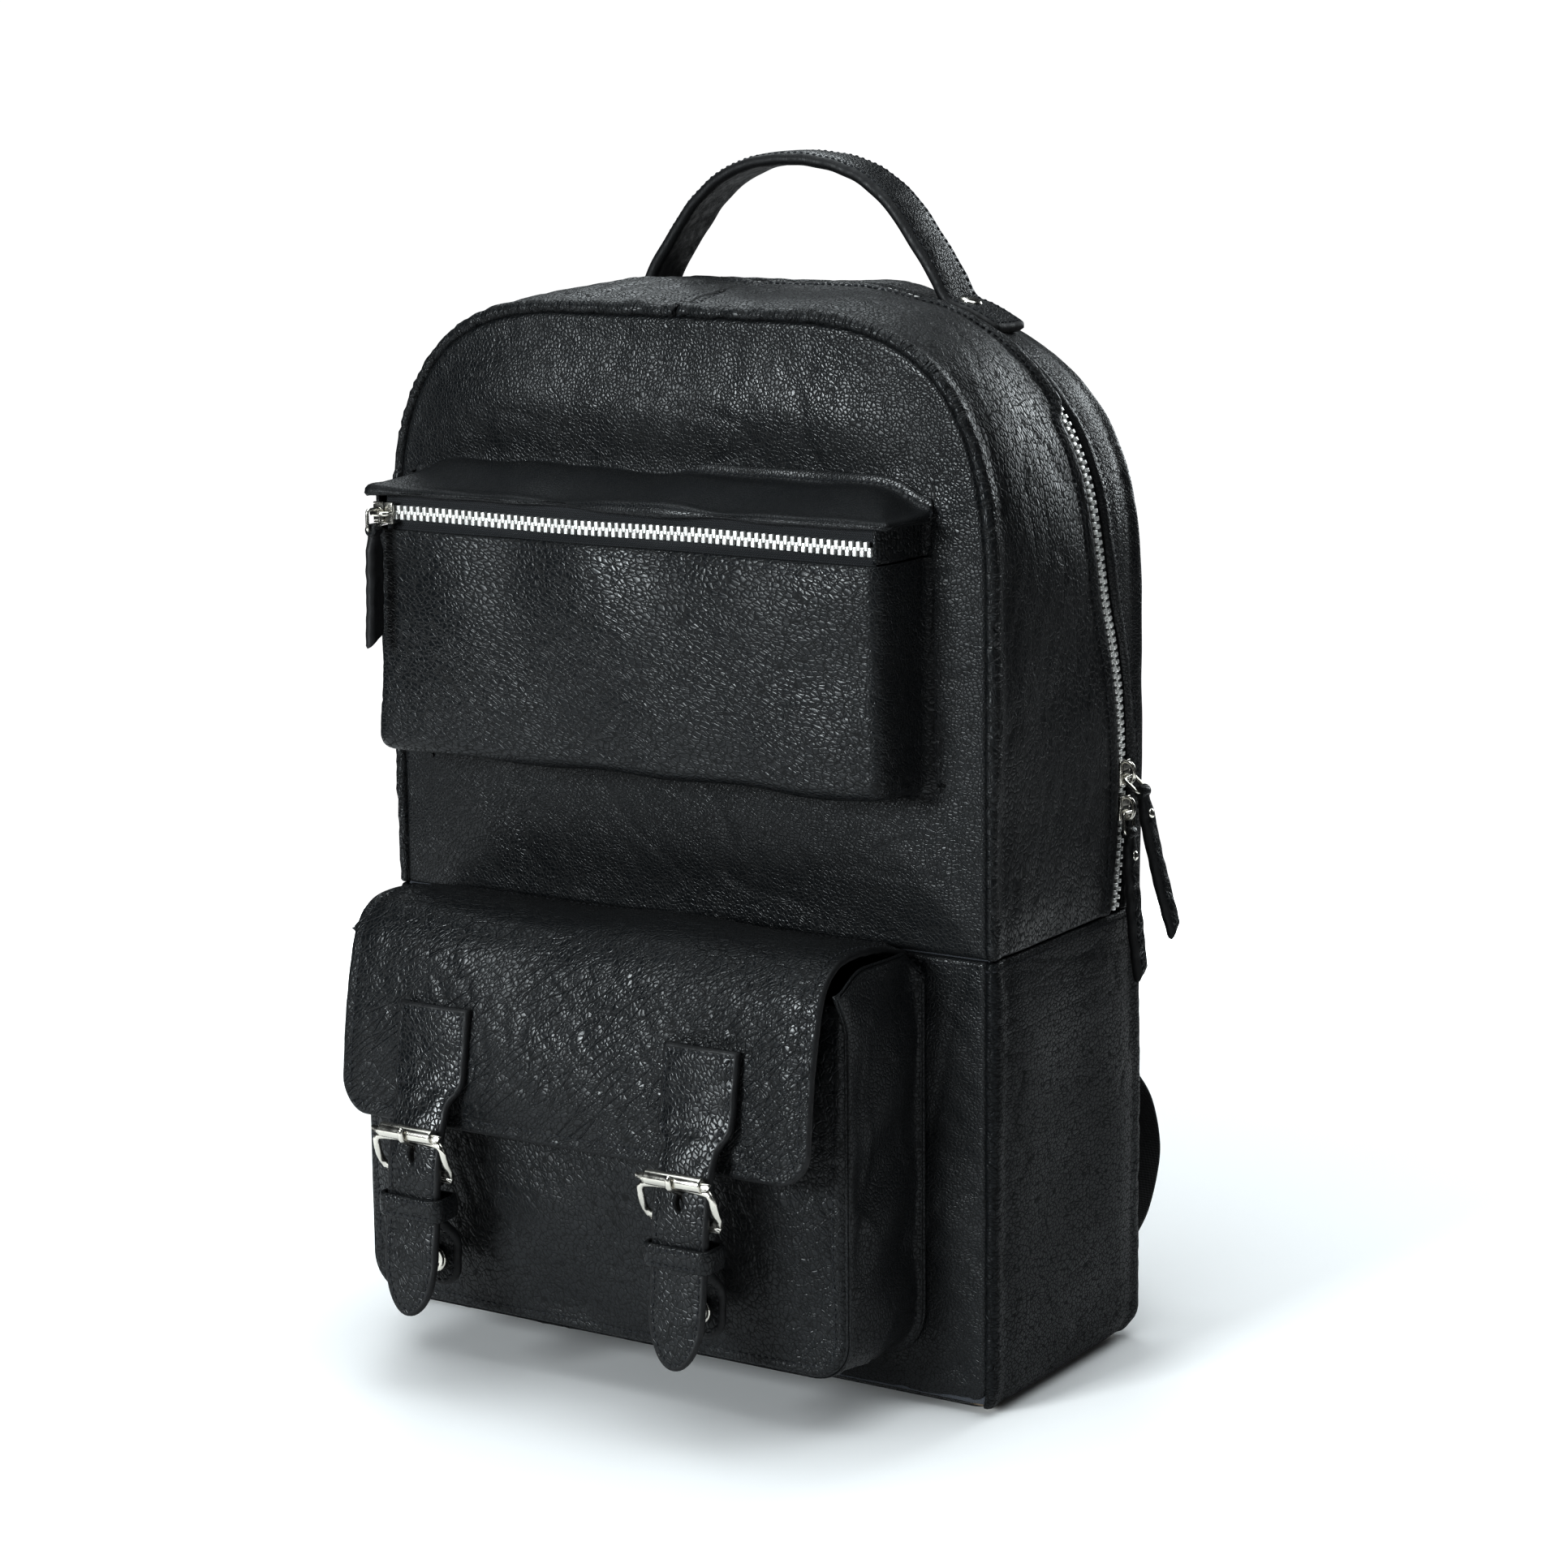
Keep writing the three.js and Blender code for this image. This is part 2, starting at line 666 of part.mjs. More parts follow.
function upperPocket() {
  const p = UPPER_POCKET;
  const front = crownedPanel(p, p.bottom, p.frontTop, p.depth, p.bulge);
  const hood = [];
  for (const [distance, z] of smooth(
    [
      [p.depth + 1, p.hoodLip],
      [p.depth - 2, p.hoodLip + 6],
      [p.depth * 0.5, p.hoodTop - 1],
      [0.5, p.hoodTop],
    ],
    9,
  )) {
    hood.push([-1, -0.5, 0, 0.5, 1].map((u) => vec(p.x + u * p.halfWidth, ahead(distance), z)));
  }
  return [
    named("upper_pocket_front", front, leather()),
    pocketGusset("upper_pocket_gusset", p, p.hoodLip - 1),
    named("upper_pocket_hood", thickSheet(hood, LEATHER), leather()),
  ];
}

function pocketZipper() {
  const p = UPPER_POCKET;
  const half = p.halfWidth - LEATHER - GAP;
  const ends = [p.x - half, p.x + half];
  const chainFace = p.depth + 0.1;
  const chainBack = chainFace - ZIP.chainThick;
  const tape = box(
    ends,
    [ahead(chainBack - GAP), ahead(chainBack - GAP - ZIP.tapeThick)],
    [p.zipZ - 9, p.zipZ + 9],
  );
  const chainEnds = [ends[0] + 3, ends[1] - 5];
  const chain = box(
    chainEnds,
    [ahead(chainFace), ahead(chainBack)],
    [p.zipZ - ZIP.chainHalf, p.zipZ + ZIP.chainHalf],
  );
  return [named("pocket_zipper_tape", tape, fabric()), named("pocket_zipper_chain", chain, nickel())];
}

// The pocket's slider faces the front and travels along X; its link hangs over the bail.
function pocketSlider() {
  const group = new THREE.Group();
  group.position.set(POCKET_SLIDER.x, ahead(UPPER_POCKET.depth + 0.1), UPPER_POCKET.zipZ);
  const slider = named("pocket_slider", sliderGeometry(), nickel());
  const facing = new THREE.Matrix4().makeBasis(vec(0, -1, 0), vec(0, 0, -1), vec(1, 0, 0));
  slider.setRotationFromMatrix(facing);
  group.add(slider);

  const drop = SLIDER.bailWidth / 2 + LINK.wire / 2 + GAP;
  const link = named("pocket_link", linkGeometry(), nickel());
  const middle = -POCKET_SLIDER.crossing - (LINK.inner + LINK.wire) / 2;
  link.position.set(0, middle, drop);
  group.add(link);

  const pull = named("pocket_pull", pullGeometry(POCKET_SLIDER.pullLength), edgeLeather());
  pull.position.set(0, middle, drop - LINK.length);
  group.add(pull);
  return group;
}

// ---- Lower pocket ----------------------------------------------------------

function lowerPocket() {
  const p = LOWER_POCKET;
  return [
    named("lower_pocket_front", crownedPanel(p, p.bottom, p.top, p.depth, p.bulge), leather()),
    pocketGusset("lower_pocket_gusset", p, p.top),
  ];
}

function flap() {
  const lowest = FLAP_PROFILE[0][1];
  const near = [0, 0.06, 0.2, 0.45, 0.75].map((t) => t * FLAP.corner);
  const profile = smooth(FLAP_PROFILE, 60);
  const bottomRows = near.map((height) => profile.reduce((best, point) =>
    Math.abs(point[1] - lowest - height) < Math.abs(best[1] - lowest - height) ? point : best,
  ));
  const upperRows = profile.filter(([, z], i) => z - lowest > FLAP.corner && i % 4 === 0);
  upperRows.push(profile[profile.length - 1]);
  const used = [...bottomRows, ...upperRows].filter((point, i, list) => i === 0 || point !== list[i - 1]);
  const rows = used.map(([distance, z], i) => {
    const rounded = i < bottomRows.length ? z - lowest : FLAP.corner;
    const half = cornerHalf(FLAP.halfWidth, FLAP.corner, rounded);
    return [-1, -0.5, 0, 0.5, 1].map((u) => vec(FLAP.x + u * half, ahead(distance), z));
  });
  return named("flap", thickSheet(rows, FLAP.thick), leather());
}

// The half width of a closing strap at height z: a round tip, the belt, then the sewn tab.
function strapHalf(z) {
  const { tip, half, tabHalf } = STRAP;
  if (z < tip + 14) return 3 + (half - 3) * Math.sqrt(Math.max(1 - ((tip + 14 - z) / 14) ** 2, 0));
  return lerp(half, tabHalf, THREE.MathUtils.smoothstep(z, 121, 133));
}

function closingStrap(name, x) {
  const rows = smooth(STRAP_PROFILE, 34).map(([distance, z]) =>
    [-1, 0, 1].map((u) => vec(x + u * strapHalf(z), ahead(distance), z)),
  );
  const slot = box([x - SLOT_HALF, x + SLOT_HALF], [ahead(103), ahead(84)], STRAP.slot);
  return named(name, cut(thickSheet(rows, STRAP.thick), slot), edgeLeather());
}

// The buckle's frame: a rounded rectangle of wire, leaning back from the roller to the bar.
function buckleFrame(name, x) {
  const { wire, halfWidth, top, bar } = BUCKLE;
  const corners = [
    [-halfWidth, 0],
    [halfWidth, 0],
    [halfWidth, 1],
    [-halfWidth, 1],
  ];
  const place = ([u, t]) => vec(x + u, ahead(lerp(bar[0], top[0], t)), lerp(bar[1], top[1], t));
  const path = new THREE.CurvePath();
  const round = 4;
  const points = corners.map(place);
  for (let i = 0; i < points.length; i++) {
    const here = points[i];
    const next = points[(i + 1) % points.length];
    const after = points[(i + 2) % points.length];
    const side = next.clone().sub(here).normalize();
    const turn = after.clone().sub(next).normalize();
    const from = here.clone().addScaledVector(side, round);
    const to = next.clone().addScaledVector(side, -round);
    path.add(new THREE.LineCurve3(from, to));
    path.add(new THREE.QuadraticBezierCurve3(to, next, next.clone().addScaledVector(turn, round)));
  }
  const rings = [];
  for (const curve of path.curves) {
    const steps = curve.isLineCurve3 ? 1 : 4;
    for (let i = 0; i < steps; i++) {
      rings.push({ centre: curve.getPoint(i / steps), tangent: curve.getTangent(i / steps) });
    }
  }
  const face = place([0, 1]).sub(place([0, 0])).cross(vec(1, 0, 0)).normalize();
  return named(name, wireLoop(rings, face, wire, 10), nickel());
}

// A closed loop of round wire through rings that all lie in the plane with normal face.
function wireLoop(rings, face, radius, sides) {
  const positions = [];
  const index = [];
  rings.forEach(({ centre, tangent }, i) => {
    const out = tangent.clone().cross(face).normalize();
    for (let k = 0; k < sides; k++) {
      const angle = (2 * Math.PI * k) / sides;
      const p = centre.clone();
      p.addScaledVector(out, radius * Math.cos(angle)).addScaledVector(face, radius * Math.sin(angle));
      positions.push(p.x, p.y, p.z);
      const a = i * sides + k;
      const b = i * sides + ((k + 1) % sides);
      const c = ((i + 1) % rings.length) * sides + ((k + 1) % sides);
      const d = ((i + 1) % rings.length) * sides + k;
      index.push(a, d, c, a, c, b);
    }
  });
  const geometry = new THREE.BufferGeometry();
  geometry.setAttribute("position", new THREE.Float32BufferAttribute(positions, 3));
  geometry.setIndex(index);
  geometry.computeVertexNormals();
  return geometry;
}

// The roller is a tube that turns on the frame's top side.
function buckleRoller(name, x) {
  const { rollerRadius, rollerHalf, wire, top } = BUCKLE;
  const inner = wire + 0.25;
  const profile = [
    new THREE.Vector2(inner, -rollerHalf),
    new THREE.Vector2(rollerRadius, -rollerHalf),
    new THREE.Vector2(rollerRadius, rollerHalf),
    new THREE.Vector2(inner, rollerHalf),
    new THREE.Vector2(inner, -rollerHalf),
  ];
  const geometry = new THREE.LatheGeometry(profile, 24);
  geometry.rotateZ(Math.PI / 2).translate(x, ahead(top[0]), top[1]);
  return named(name, geometry, nickel());
}

// The prong turns on the lower bar, comes through the strap's slot and rests on the roller.
function buckleProng(name, x) {
  const { bar, top, wire, rollerRadius } = BUCKLE;
  const r = wire + 0.25;
  const tipY = top[0] + rollerRadius + GAP;
  const shape = new THREE.Shape();
  shape.absarc(ahead(bar[0]), bar[1], r + 1.5, rad(170), rad(420), false);
  shape.lineTo(ahead(bar[0] - 0.6), bar[1] + 8);
  shape.quadraticCurveTo(ahead(bar[0] + 1.2), bar[1] + 14, ahead(tipY), top[1] - 4.3);
  shape.lineTo(ahead(tipY), top[1] + 3);
  shape.lineTo(ahead(tipY + 1.6), top[1] + 2);
  shape.lineTo(ahead(tipY + 1.6), top[1] - 5.3);
  shape.quadraticCurveTo(ahead(bar[0] + 4.2), bar[1] + 11.8, ahead(bar[0] + 1.8), bar[1] + 6.5);
  shape.closePath();
  const hole = new THREE.Path();
  hole.absarc(ahead(bar[0]), bar[1], r, 0, 2 * Math.PI, false);
  shape.holes.push(hole);
  return named(name, sideways(shape, 1.5).translate(x, 0, 0), nickel());
}

// The chape is the short strap that holds the buckle and ends in the magnetic snap.
function chape(name, x) {
  const { bar, wire } = BUCKLE;
  const r = wire + 0.25;
  const face = bar[0] + CHAPE.thick / 2;
  const profile = smooth(
    [
      [CHAPE.snapFace, CHAPE.end],
      [CHAPE.snapFace, CHAPE.snapZ],
      [CHAPE.snapFace, CHAPE.snapZ + 8],
      [lerp(CHAPE.snapFace, face, 0.5), CHAPE.snapZ + 14.5],
      [face, CHAPE.snapZ + 21],
      [face, bar[1] - 10],
      [face, bar[1] - 3],
    ],
    18,
  );
  const rows = profile.map(([distance, z]) =>
    [-1, 0, 1].map((u) => vec(x + u * CHAPE.half, ahead(distance), z)),
  );
  const loop = new THREE.Shape();
  loop.absarc(ahead(bar[0]), bar[1], r + 2, 0, 2 * Math.PI, false);
  const bore = new THREE.Shape();
  bore.absarc(ahead(bar[0]), bar[1], r, 0, 2 * Math.PI, false);
  const body = weld(thickSheet(rows, CHAPE.thick), sideways(loop, CHAPE.half).translate(x, 0, 0));
  const hole = sideways(bore, CHAPE.half + 2).translate(x, 0, 0);
  const slotY = [ahead(bar[0] + 9), ahead(bar[0] - 9)];
  const slot = box([x - SLOT_HALF, x + SLOT_HALF], slotY, [bar[1] - 5, bar[1] + 9]);
  return named(name, cut(body, hole, slot), edgeLeather());
}

// A keeper is a band of leather round the closing strap and the chape.
function keeper(name, x) {
  const { wall, front, low, high } = KEEPER;
  const half = STRAP.half + 1.5 * GAP;
  const inside = [BUCKLE.bar[0] - CHAPE.thick / 2 - 1.5 * GAP, front + GAP];
  const outer = box(
    [x - half - wall, x + half + wall],
    [ahead(inside[1] + wall), ahead(inside[0] - wall)],
    [low, high],
  );
  const hole = box([x - half, x + half], [ahead(inside[1]), ahead(inside[0])], [low - 1, high + 1]);
  return named(name, cut(outer, hole), edgeLeather());
}

// The two halves of a magnetic snap: the cap on the chape and the stud on the pocket.
function snap(side, x) {
  const cap = new THREE.CylinderGeometry(SNAP.radius, SNAP.radius, SNAP.capThick, 24);
  cap.translate(x, ahead(CHAPE.snapFace + GAP + SNAP.capThick / 2), CHAPE.snapZ);
  const studEnd = CHAPE.snapFace - CHAPE.thick - 2 * GAP;
  const stud = new THREE.CylinderGeometry(SNAP.radius, SNAP.radius, studEnd - SNAP.seat, 24);
  stud.translate(x, ahead((studEnd + SNAP.seat) / 2), CHAPE.snapZ);
  return [named("snap_cap_" + side, cap, nickel()), named("snap_stud_" + side, stud, nickel())];
}

function closures() {
  return STRAP.offsets.flatMap((offset) => {
    const side = offset < 0 ? "left" : "right";
    const x = FLAP.x + offset;
    return [
      closingStrap("strap_" + side, x),
      buckleFrame("buckle_frame_" + side, x),
      buckleRoller("buckle_roller_" + side, x),
      buckleProng("buckle_prong_" + side, x),
      chape("chape_" + side, x),
      keeper("keeper_" + side, x),
      ...snap(side, x),
    ];
  });
}

// ---- Handle ----------------------------------------------------------------

// The point of the body's top at a given x, on the right half, at depth y, moved in by inset.
function topAt(x, y, inset) {
  const half = insetHalf(y, inset);
  const next = half.findIndex((p) => p.x <= x);
  const a = half[next - 1];
  const b = half[next];
  return vec(x, y, lerp(a.y, b.y, (a.x - x) / (a.x - b.x)));
}

function handle() {
  const half = smooth(HANDLE_PROFILE, 14);
  const profile = [...half, ...half.slice(0, -1).reverse().map(([x, z]) => [-x, z])];
  const columns = [-1, 0, 1].map((u) => HANDLE.y + u * HANDLE.half);
  const arch = thickSheet(
    profile.map(([x, z]) => columns.map((y) => vec(x, y, z))),
    HANDLE.thick,
  );
  const pieces = [named("handle", arch, leather())];
  for (const side of [-1, 1]) {
    const name = side < 0 ? "left" : "right";
    const rows = [];
    for (let i = 0; i <= 6; i++) {
      const x = lerp(HANDLE.footOuter, HANDLE.footInner, i / 6);
      const row = columns.map((y) => topAt(x, y, -GAP - HANDLE.footThick));
      rows.push(row.map((p) => vec(side * p.x, p.y, p.z)));
    }
    if (side < 0) rows.reverse();
    pieces.push(named("handle_foot_" + name, thickSheet(rows, HANDLE.footThick), leather()));

    const lift = -4 * GAP - HANDLE.footThick - RIVET.thick / 2;
    const seat = topAt(RIVET.x, HANDLE.y, lift);
    const beyond = topAt(RIVET.x + 4, HANDLE.y, lift);
    const rivet = new THREE.CylinderGeometry(RIVET.radius, RIVET.radius, RIVET.thick, 20);
    rivet.rotateX(Math.PI / 2).rotateY(side * Math.atan2(seat.z - beyond.z, 4));
    rivet.translate(side * seat.x, seat.y, seat.z);
    pieces.push(named("handle_rivet_" + name, rivet, nickel()));
  }
  return pieces;
}

// ---- Shoulder straps -------------------------------------------------------

// A strap along a route whose outer face looks to the back; side is -1 or 1.
function backStrapSheet(route, steps, halfAt, thicknessAt, side) {
  const curve = new THREE.CatmullRomCurve3(
    route.map(([x, y, z]) => vec(side * x, y, z)),
    false,
    "centripetal",
  );
  const rows = [];
  for (let i = 0; i <= steps; i++) {
    const t = i / steps;
    const p = curve.getPoint(t);
    rows.push([1, 0.5, 0, -0.5, -1].map((u) => vec(p.x + u * halfAt(t), p.y - 1.5 * u * u, p.z)));
  }
  return thickSheet(rows, (i) => thicknessAt(i / steps));
}

// A value of the pad's route (its half width or thickness) part of the way along it.
function alongPad(column, t) {
  const place = t * (PAD_ROUTE.length - 1);
  const i = Math.min(Math.floor(place), PAD_ROUTE.length - 2);
  return lerp(PAD_ROUTE[i][column], PAD_ROUTE[i + 1][column], place - i);
}

function adjuster(name, side) {
  const { place, lean, splay, half, halfHeight, thick, rim, slotZ, slotHalf } = ADJUSTER;
  const outline = rectangle(new THREE.Shape(), -half, half, -halfHeight, halfHeight);
  for (const z of [-slotZ, slotZ]) {
    outline.holes.push(rectangle(new THREE.Path(), rim - half, half - rim, z - slotHalf, z + slotHalf));
  }
  const geometry = new THREE.ExtrudeGeometry(outline, { depth: thick, bevelEnabled: false });
  geometry.rotateX(Math.PI / 2).translate(0, thick / 2, 0);
  const mesh = named(name, geometry, plastic());
  mesh.position.set(side * place[0], place[1], place[2]);
  mesh.rotation.set(-rad(lean), side * rad(splay), 0);
  return mesh;
}

function shoulderStraps() {
  return [-1, 1].flatMap((side) => {
    const name = side < 0 ? "left" : "right";
    const pad = backStrapSheet(
      PAD_ROUTE,
      20,
      (t) => alongPad(3, t),
      (t) => alongPad(4, t),
      side,
    );
    const webbing = backStrapSheet(
      WEBBING_ROUTE,
      16,
      () => WEBBING.half,
      () => WEBBING.thick,
      side,
    );
    return [
      named("shoulder_pad_" + name, pad, leather()),
      named("webbing_" + name, webbing, fabric()),
      adjuster("adjuster_" + name, side),
    ];
  });
}

// ---- Assembly --------------------------------------------------------------

const backpack = new THREE.Group();
backpack.add(
  ...frontPanels(),
  ...frontGussets(),
  backStrip(),
  ...lowerSides(),
  ...base(),
  ...back(),
  lining(),
  laptopSleeve(),
  ...mainZipper(),
  mainSlider("upper", UPPER_SLIDER),
  mainSlider("lower", LOWER_SLIDER),
  ...upperPocket(),
  ...pocketZipper(),
  pocketSlider(),
  ...lowerPocket(),
  flap(),
  ...closures(),
  ...handle(),
  ...shoulderStraps(),
);

export default backpack;
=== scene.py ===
"""The looks of the leather backpack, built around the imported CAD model. Metres, +Z up, -Y is the front."""

import math

import bmesh
import bpy
import numpy as np
from mathutils import Matrix, Vector
from mathutils.bvhtree import BVHTree
from mathutils.geometry import delaunay_2d_cdt
from mathutils.kdtree import KDTree
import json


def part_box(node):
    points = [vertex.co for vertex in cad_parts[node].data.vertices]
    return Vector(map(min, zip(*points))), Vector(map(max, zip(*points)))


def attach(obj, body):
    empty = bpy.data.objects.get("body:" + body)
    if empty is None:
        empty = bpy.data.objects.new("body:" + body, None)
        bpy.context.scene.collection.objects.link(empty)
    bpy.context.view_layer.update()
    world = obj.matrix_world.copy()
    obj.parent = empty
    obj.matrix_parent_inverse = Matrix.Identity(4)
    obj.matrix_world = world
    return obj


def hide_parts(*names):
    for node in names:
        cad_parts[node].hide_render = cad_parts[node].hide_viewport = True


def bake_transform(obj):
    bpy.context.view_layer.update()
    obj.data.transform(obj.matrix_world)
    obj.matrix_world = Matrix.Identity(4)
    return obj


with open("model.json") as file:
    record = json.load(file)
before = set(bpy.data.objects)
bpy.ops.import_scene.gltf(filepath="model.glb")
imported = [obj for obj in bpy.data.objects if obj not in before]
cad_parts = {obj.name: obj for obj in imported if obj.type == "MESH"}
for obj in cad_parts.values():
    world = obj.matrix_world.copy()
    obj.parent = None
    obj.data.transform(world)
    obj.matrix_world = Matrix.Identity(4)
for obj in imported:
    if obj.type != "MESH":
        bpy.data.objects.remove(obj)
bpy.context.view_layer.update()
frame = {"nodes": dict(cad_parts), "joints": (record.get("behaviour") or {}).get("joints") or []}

# ---- Places read from the frame ---------------------------------------------------------

MM = 0.001
HALF_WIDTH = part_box("back_panel")[1].x
FRONT_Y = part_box("front_panel_upper")[0].y
BACK_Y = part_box("back_panel")[1].y
SEAM_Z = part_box("front_panel_lower")[1].z
TOP_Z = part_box("front_panel_upper")[1].z
UPPER_POCKET_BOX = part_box("upper_pocket_gusset")
LOWER_POCKET_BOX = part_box("lower_pocket_gusset")
FLAP_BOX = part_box("flap")

# ---- Dimensions that the frame doesn't hold as boxes ------------------------------------

LEATHER = 1.8 * MM
CROWN = 5 * MM
STRAIGHT_Z = 0.308
ARC_Y, ARC_Z, ARC_RADIUS = -0.154, 0.240, 0.200
CORNER_FRONT = {"shoulder": 0.330, "flat": 0.060, "rise": 0.080, "reach": 0.120, "drop": 0.002}
CORNER_BACK = {"shoulder": 0.320, "flat": 0.040, "rise": 0.075, "reach": 0.115, "drop": 0.018}
ZIP_TOP_Y, ZIP_BEND_Y, ZIP_BEND_LENGTH = 0.014, 0.024, 0.062
ZIP_STITCH = 5.8 * 1.15 * MM
SEAM_GAP = 0.25 * MM
FLOOR_GAP = 2.3 * MM
YOKE_Z = 0.392
LEATHER_FROM_ZIP = 5.2 * MM
TOOTH_PITCH = 3.3 * MM


# ---- Small numeric helpers --------------------------------------------------------------


def lerp(a, b, t):
    return a + (b - a) * t


def ease(t):
    t = np.clip(t, 0, 1)
    return t * t * (3 - 2 * t)


def bump_at(x, centre, width):
    return np.exp(-(((x - centre) / width) ** 2))


def unit(v):
    return v / np.maximum(np.linalg.norm(v, axis=-1, keepdims=True), 1e-12)


def waves(p, wavelength, seed, count=9, stretch=(1, 1, 1)):
    """Smooth noise of about unit height at points p: a sum of sine waves with seeded directions."""
    random = np.random.default_rng(seed)
    q = p / np.array(stretch)
    total = np.zeros(len(p))
    for _ in range(count):
        direction = unit(random.normal(size=3))
        size = wavelength * random.uniform(0.7, 1.5)
        total += np.sin(q @ direction * 2 * math.pi / size + random.uniform(0, 2 * math.pi))
    return total * math.sqrt(2 / count)


def turned(p, degrees):
    """Points turned in the XZ plane, so that a stretched noise can run on a slant."""
    a = math.radians(degrees)
    x = p[:, 0] * math.cos(a) + p[:, 2] * math.sin(a)
    z = -p[:, 0] * math.sin(a) + p[:, 2] * math.cos(a)
    return np.stack([x, p[:, 1], z], 1)


def creases(p, wavelength, seed, width=0.22, stretch=(1, 1, 1)):
    """Narrow folds, 0 to 1, along the lines where a warped noise crosses zero."""
    warp = np.stack([waves(p, wavelength * 2.5, seed + k + 1, 5) for k in range(3)], 1)
    return np.exp(-((waves(p + warp * wavelength * 0.18, wavelength, seed, 9, stretch) / width) ** 2))


def smooth_path(points, count):
    """Evenly spaced points on a smooth curve through a few chosen ones."""
    p = np.array(points, float)
    ends = np.vstack([2 * p[0] - p[1], p, 2 * p[-1] - p[-2]])
    fine = []
    for i in range(len(p) - 1):
        a, b, c, d = ends[i : i + 4]
        square, cube = 2 * a - 5 * b + 4 * c - d, 3 * b - a - 3 * c + d
        for t in np.linspace(0, 1, 24, endpoint=False):
            fine.append(0.5 * (2 * b + (c - a) * t + square * t**2 + cube * t**3))
    fine.append(p[-1])
    return resample(np.array(fine), count)


def resample(path, count):
    steps = np.linalg.norm(np.diff(path, axis=0), axis=1)
    along = np.concatenate([[0], np.cumsum(steps)])
    return on_path(path, along, np.linspace(0, along[-1], count))


def on_path(path, along, s):
    """Values of a path at distances s, when along holds the distance of each of its points."""
    return np.stack([np.interp(s, along, path[:, k]) for k in range(path.shape[1])], -1)


def path_length(path):
    return np.linalg.norm(np.diff(path, axis=0), axis=1).sum()


# ---- The body's surface -----------------------------------------------------------------


def corner_value(key, y):
    return lerp(CORNER_FRONT[key], CORNER_BACK[key], (y - FRONT_Y) / (BACK_Y - FRONT_Y))


def corner_curve(t, y):
    """The upper corner of the body's outline at depth y, from the side to the flat of the top."""
    top = TOP_Z + CROWN * (1 - (y / BACK_Y) ** 2)
    shoulder = corner_value("shoulder", y)
    x = [HALF_WIDTH, HALF_WIDTH, corner_value("reach", y), corner_value("flat", y)]
    z = [shoulder, shoulder + corner_value("rise", y), top - corner_value("drop", y), top]
    weights = [(1 - t) ** 3, 3 * t * (1 - t) ** 2, 3 * t**2 * (1 - t), t**3]
    return sum(w * c for w, c in zip(weights, x)), sum(w * c for w, c in zip(weights, z))


CURVE_T = np.linspace(0, 1, 101)
CURVE_XZ = np.stack(corner_curve(CURVE_T, 0.0), 1)
CURVE_AT = np.concatenate([[0], np.cumsum(np.linalg.norm(np.diff(CURVE_XZ, axis=0), axis=1))])
SIDE_LENGTH = STRAIGHT_Z - SEAM_Z
SHOULDER_LENGTH = corner_value("shoulder", 0.0) - STRAIGHT_Z
CORNER_LENGTH = CURVE_AT[-1]
HALF_LENGTH = SIDE_LENGTH + SHOULDER_LENGTH + CORNER_LENGTH + corner_value("flat", 0.0)


def half_outline(q, y):
    """x and z of the right half of the outline: q is the way from the seam up to the middle of the top."""
    shoulder = corner_value("shoulder", y)
    top = TOP_Z + CROWN * (1 - (y / BACK_Y) ** 2)
    low = np.where(
        q < SIDE_LENGTH,
        SEAM_Z + q,
        STRAIGHT_Z + (q - SIDE_LENGTH) / SHOULDER_LENGTH * (shoulder - STRAIGHT_Z),
    )
    into_corner = q - SIDE_LENGTH - SHOULDER_LENGTH
    curve_x, curve_z = corner_curve(np.interp(into_corner, CURVE_AT, CURVE_T), y)
    flat = np.clip((into_corner - CORNER_LENGTH) / corner_value("flat", 0.0), 0, 1)
    beyond_corner = np.where(flat > 0, corner_value("flat", y) * (1 - flat), curve_x)
    x = np.where(into_corner < 0, HALF_WIDTH, beyond_corner)
    z = np.where(into_corner < 0, low, np.where(flat > 0, top, curve_z))
    return x, z


def body_surface(u, y):
    """Points and outward normals of the body's side: u runs up the right, over the top and down the left."""
    mirrored = u > HALF_LENGTH
    q = np.where(mirrored, 2 * HALF_LENGTH - u, u)
    step = 1.5 * MM
    x, z = half_outline(q, y)
    x0, z0 = half_outline(q - step, y)
    after = np.minimum(q + step, HALF_LENGTH)
    x1, z1 = half_outline(after, y)
    tangent = unit(np.stack([x1 - x0, z1 - z0], 1))
    normal = np.stack([tangent[:, 1], np.zeros(len(x)), -tangent[:, 0]], 1)
    top = (q > HALF_LENGTH - 2 * step)[:, None]
    normal = np.where(top, np.array([0.0, 0, 1]), normal)
    sign = np.where(mirrored, -1.0, 1.0)
    points = np.stack([x * sign, y, z], 1)
    normal[:, 0] *= sign
    return points, normal


def zipper_y(u):
    """The depth of the middle of the main zipper at each place of the body's outline."""
    q = np.where(u > HALF_LENGTH, 2 * HALF_LENGTH - u, u)
    rise = np.clip(SEAM_Z + q, 0, STRAIGHT_Z) - ARC_Z
    on_arc = ARC_Y + np.sqrt(ARC_RADIUS**2 - rise**2)
    start = ARC_Y + math.sqrt(ARC_RADIUS**2 - (STRAIGHT_Z - ARC_Z) ** 2)
    slope = -(STRAIGHT_Z - ARC_Z) / (start - ARC_Y)
    travelled = q - SIDE_LENGTH
    t = np.clip(travelled / ZIP_BEND_LENGTH, 0, 1)
    over = np.clip((travelled - ZIP_BEND_LENGTH) / (HALF_LENGTH - SIDE_LENGTH - ZIP_BEND_LENGTH), 0, 1)
    bend = lerp(start, ZIP_BEND_Y, ease(t)) + slope * ZIP_BEND_LENGTH * t * (1 - t) ** 2
    return np.where(q < SIDE_LENGTH, on_arc, lerp(bend, ZIP_TOP_Y, np.sin(over * math.pi / 2)))


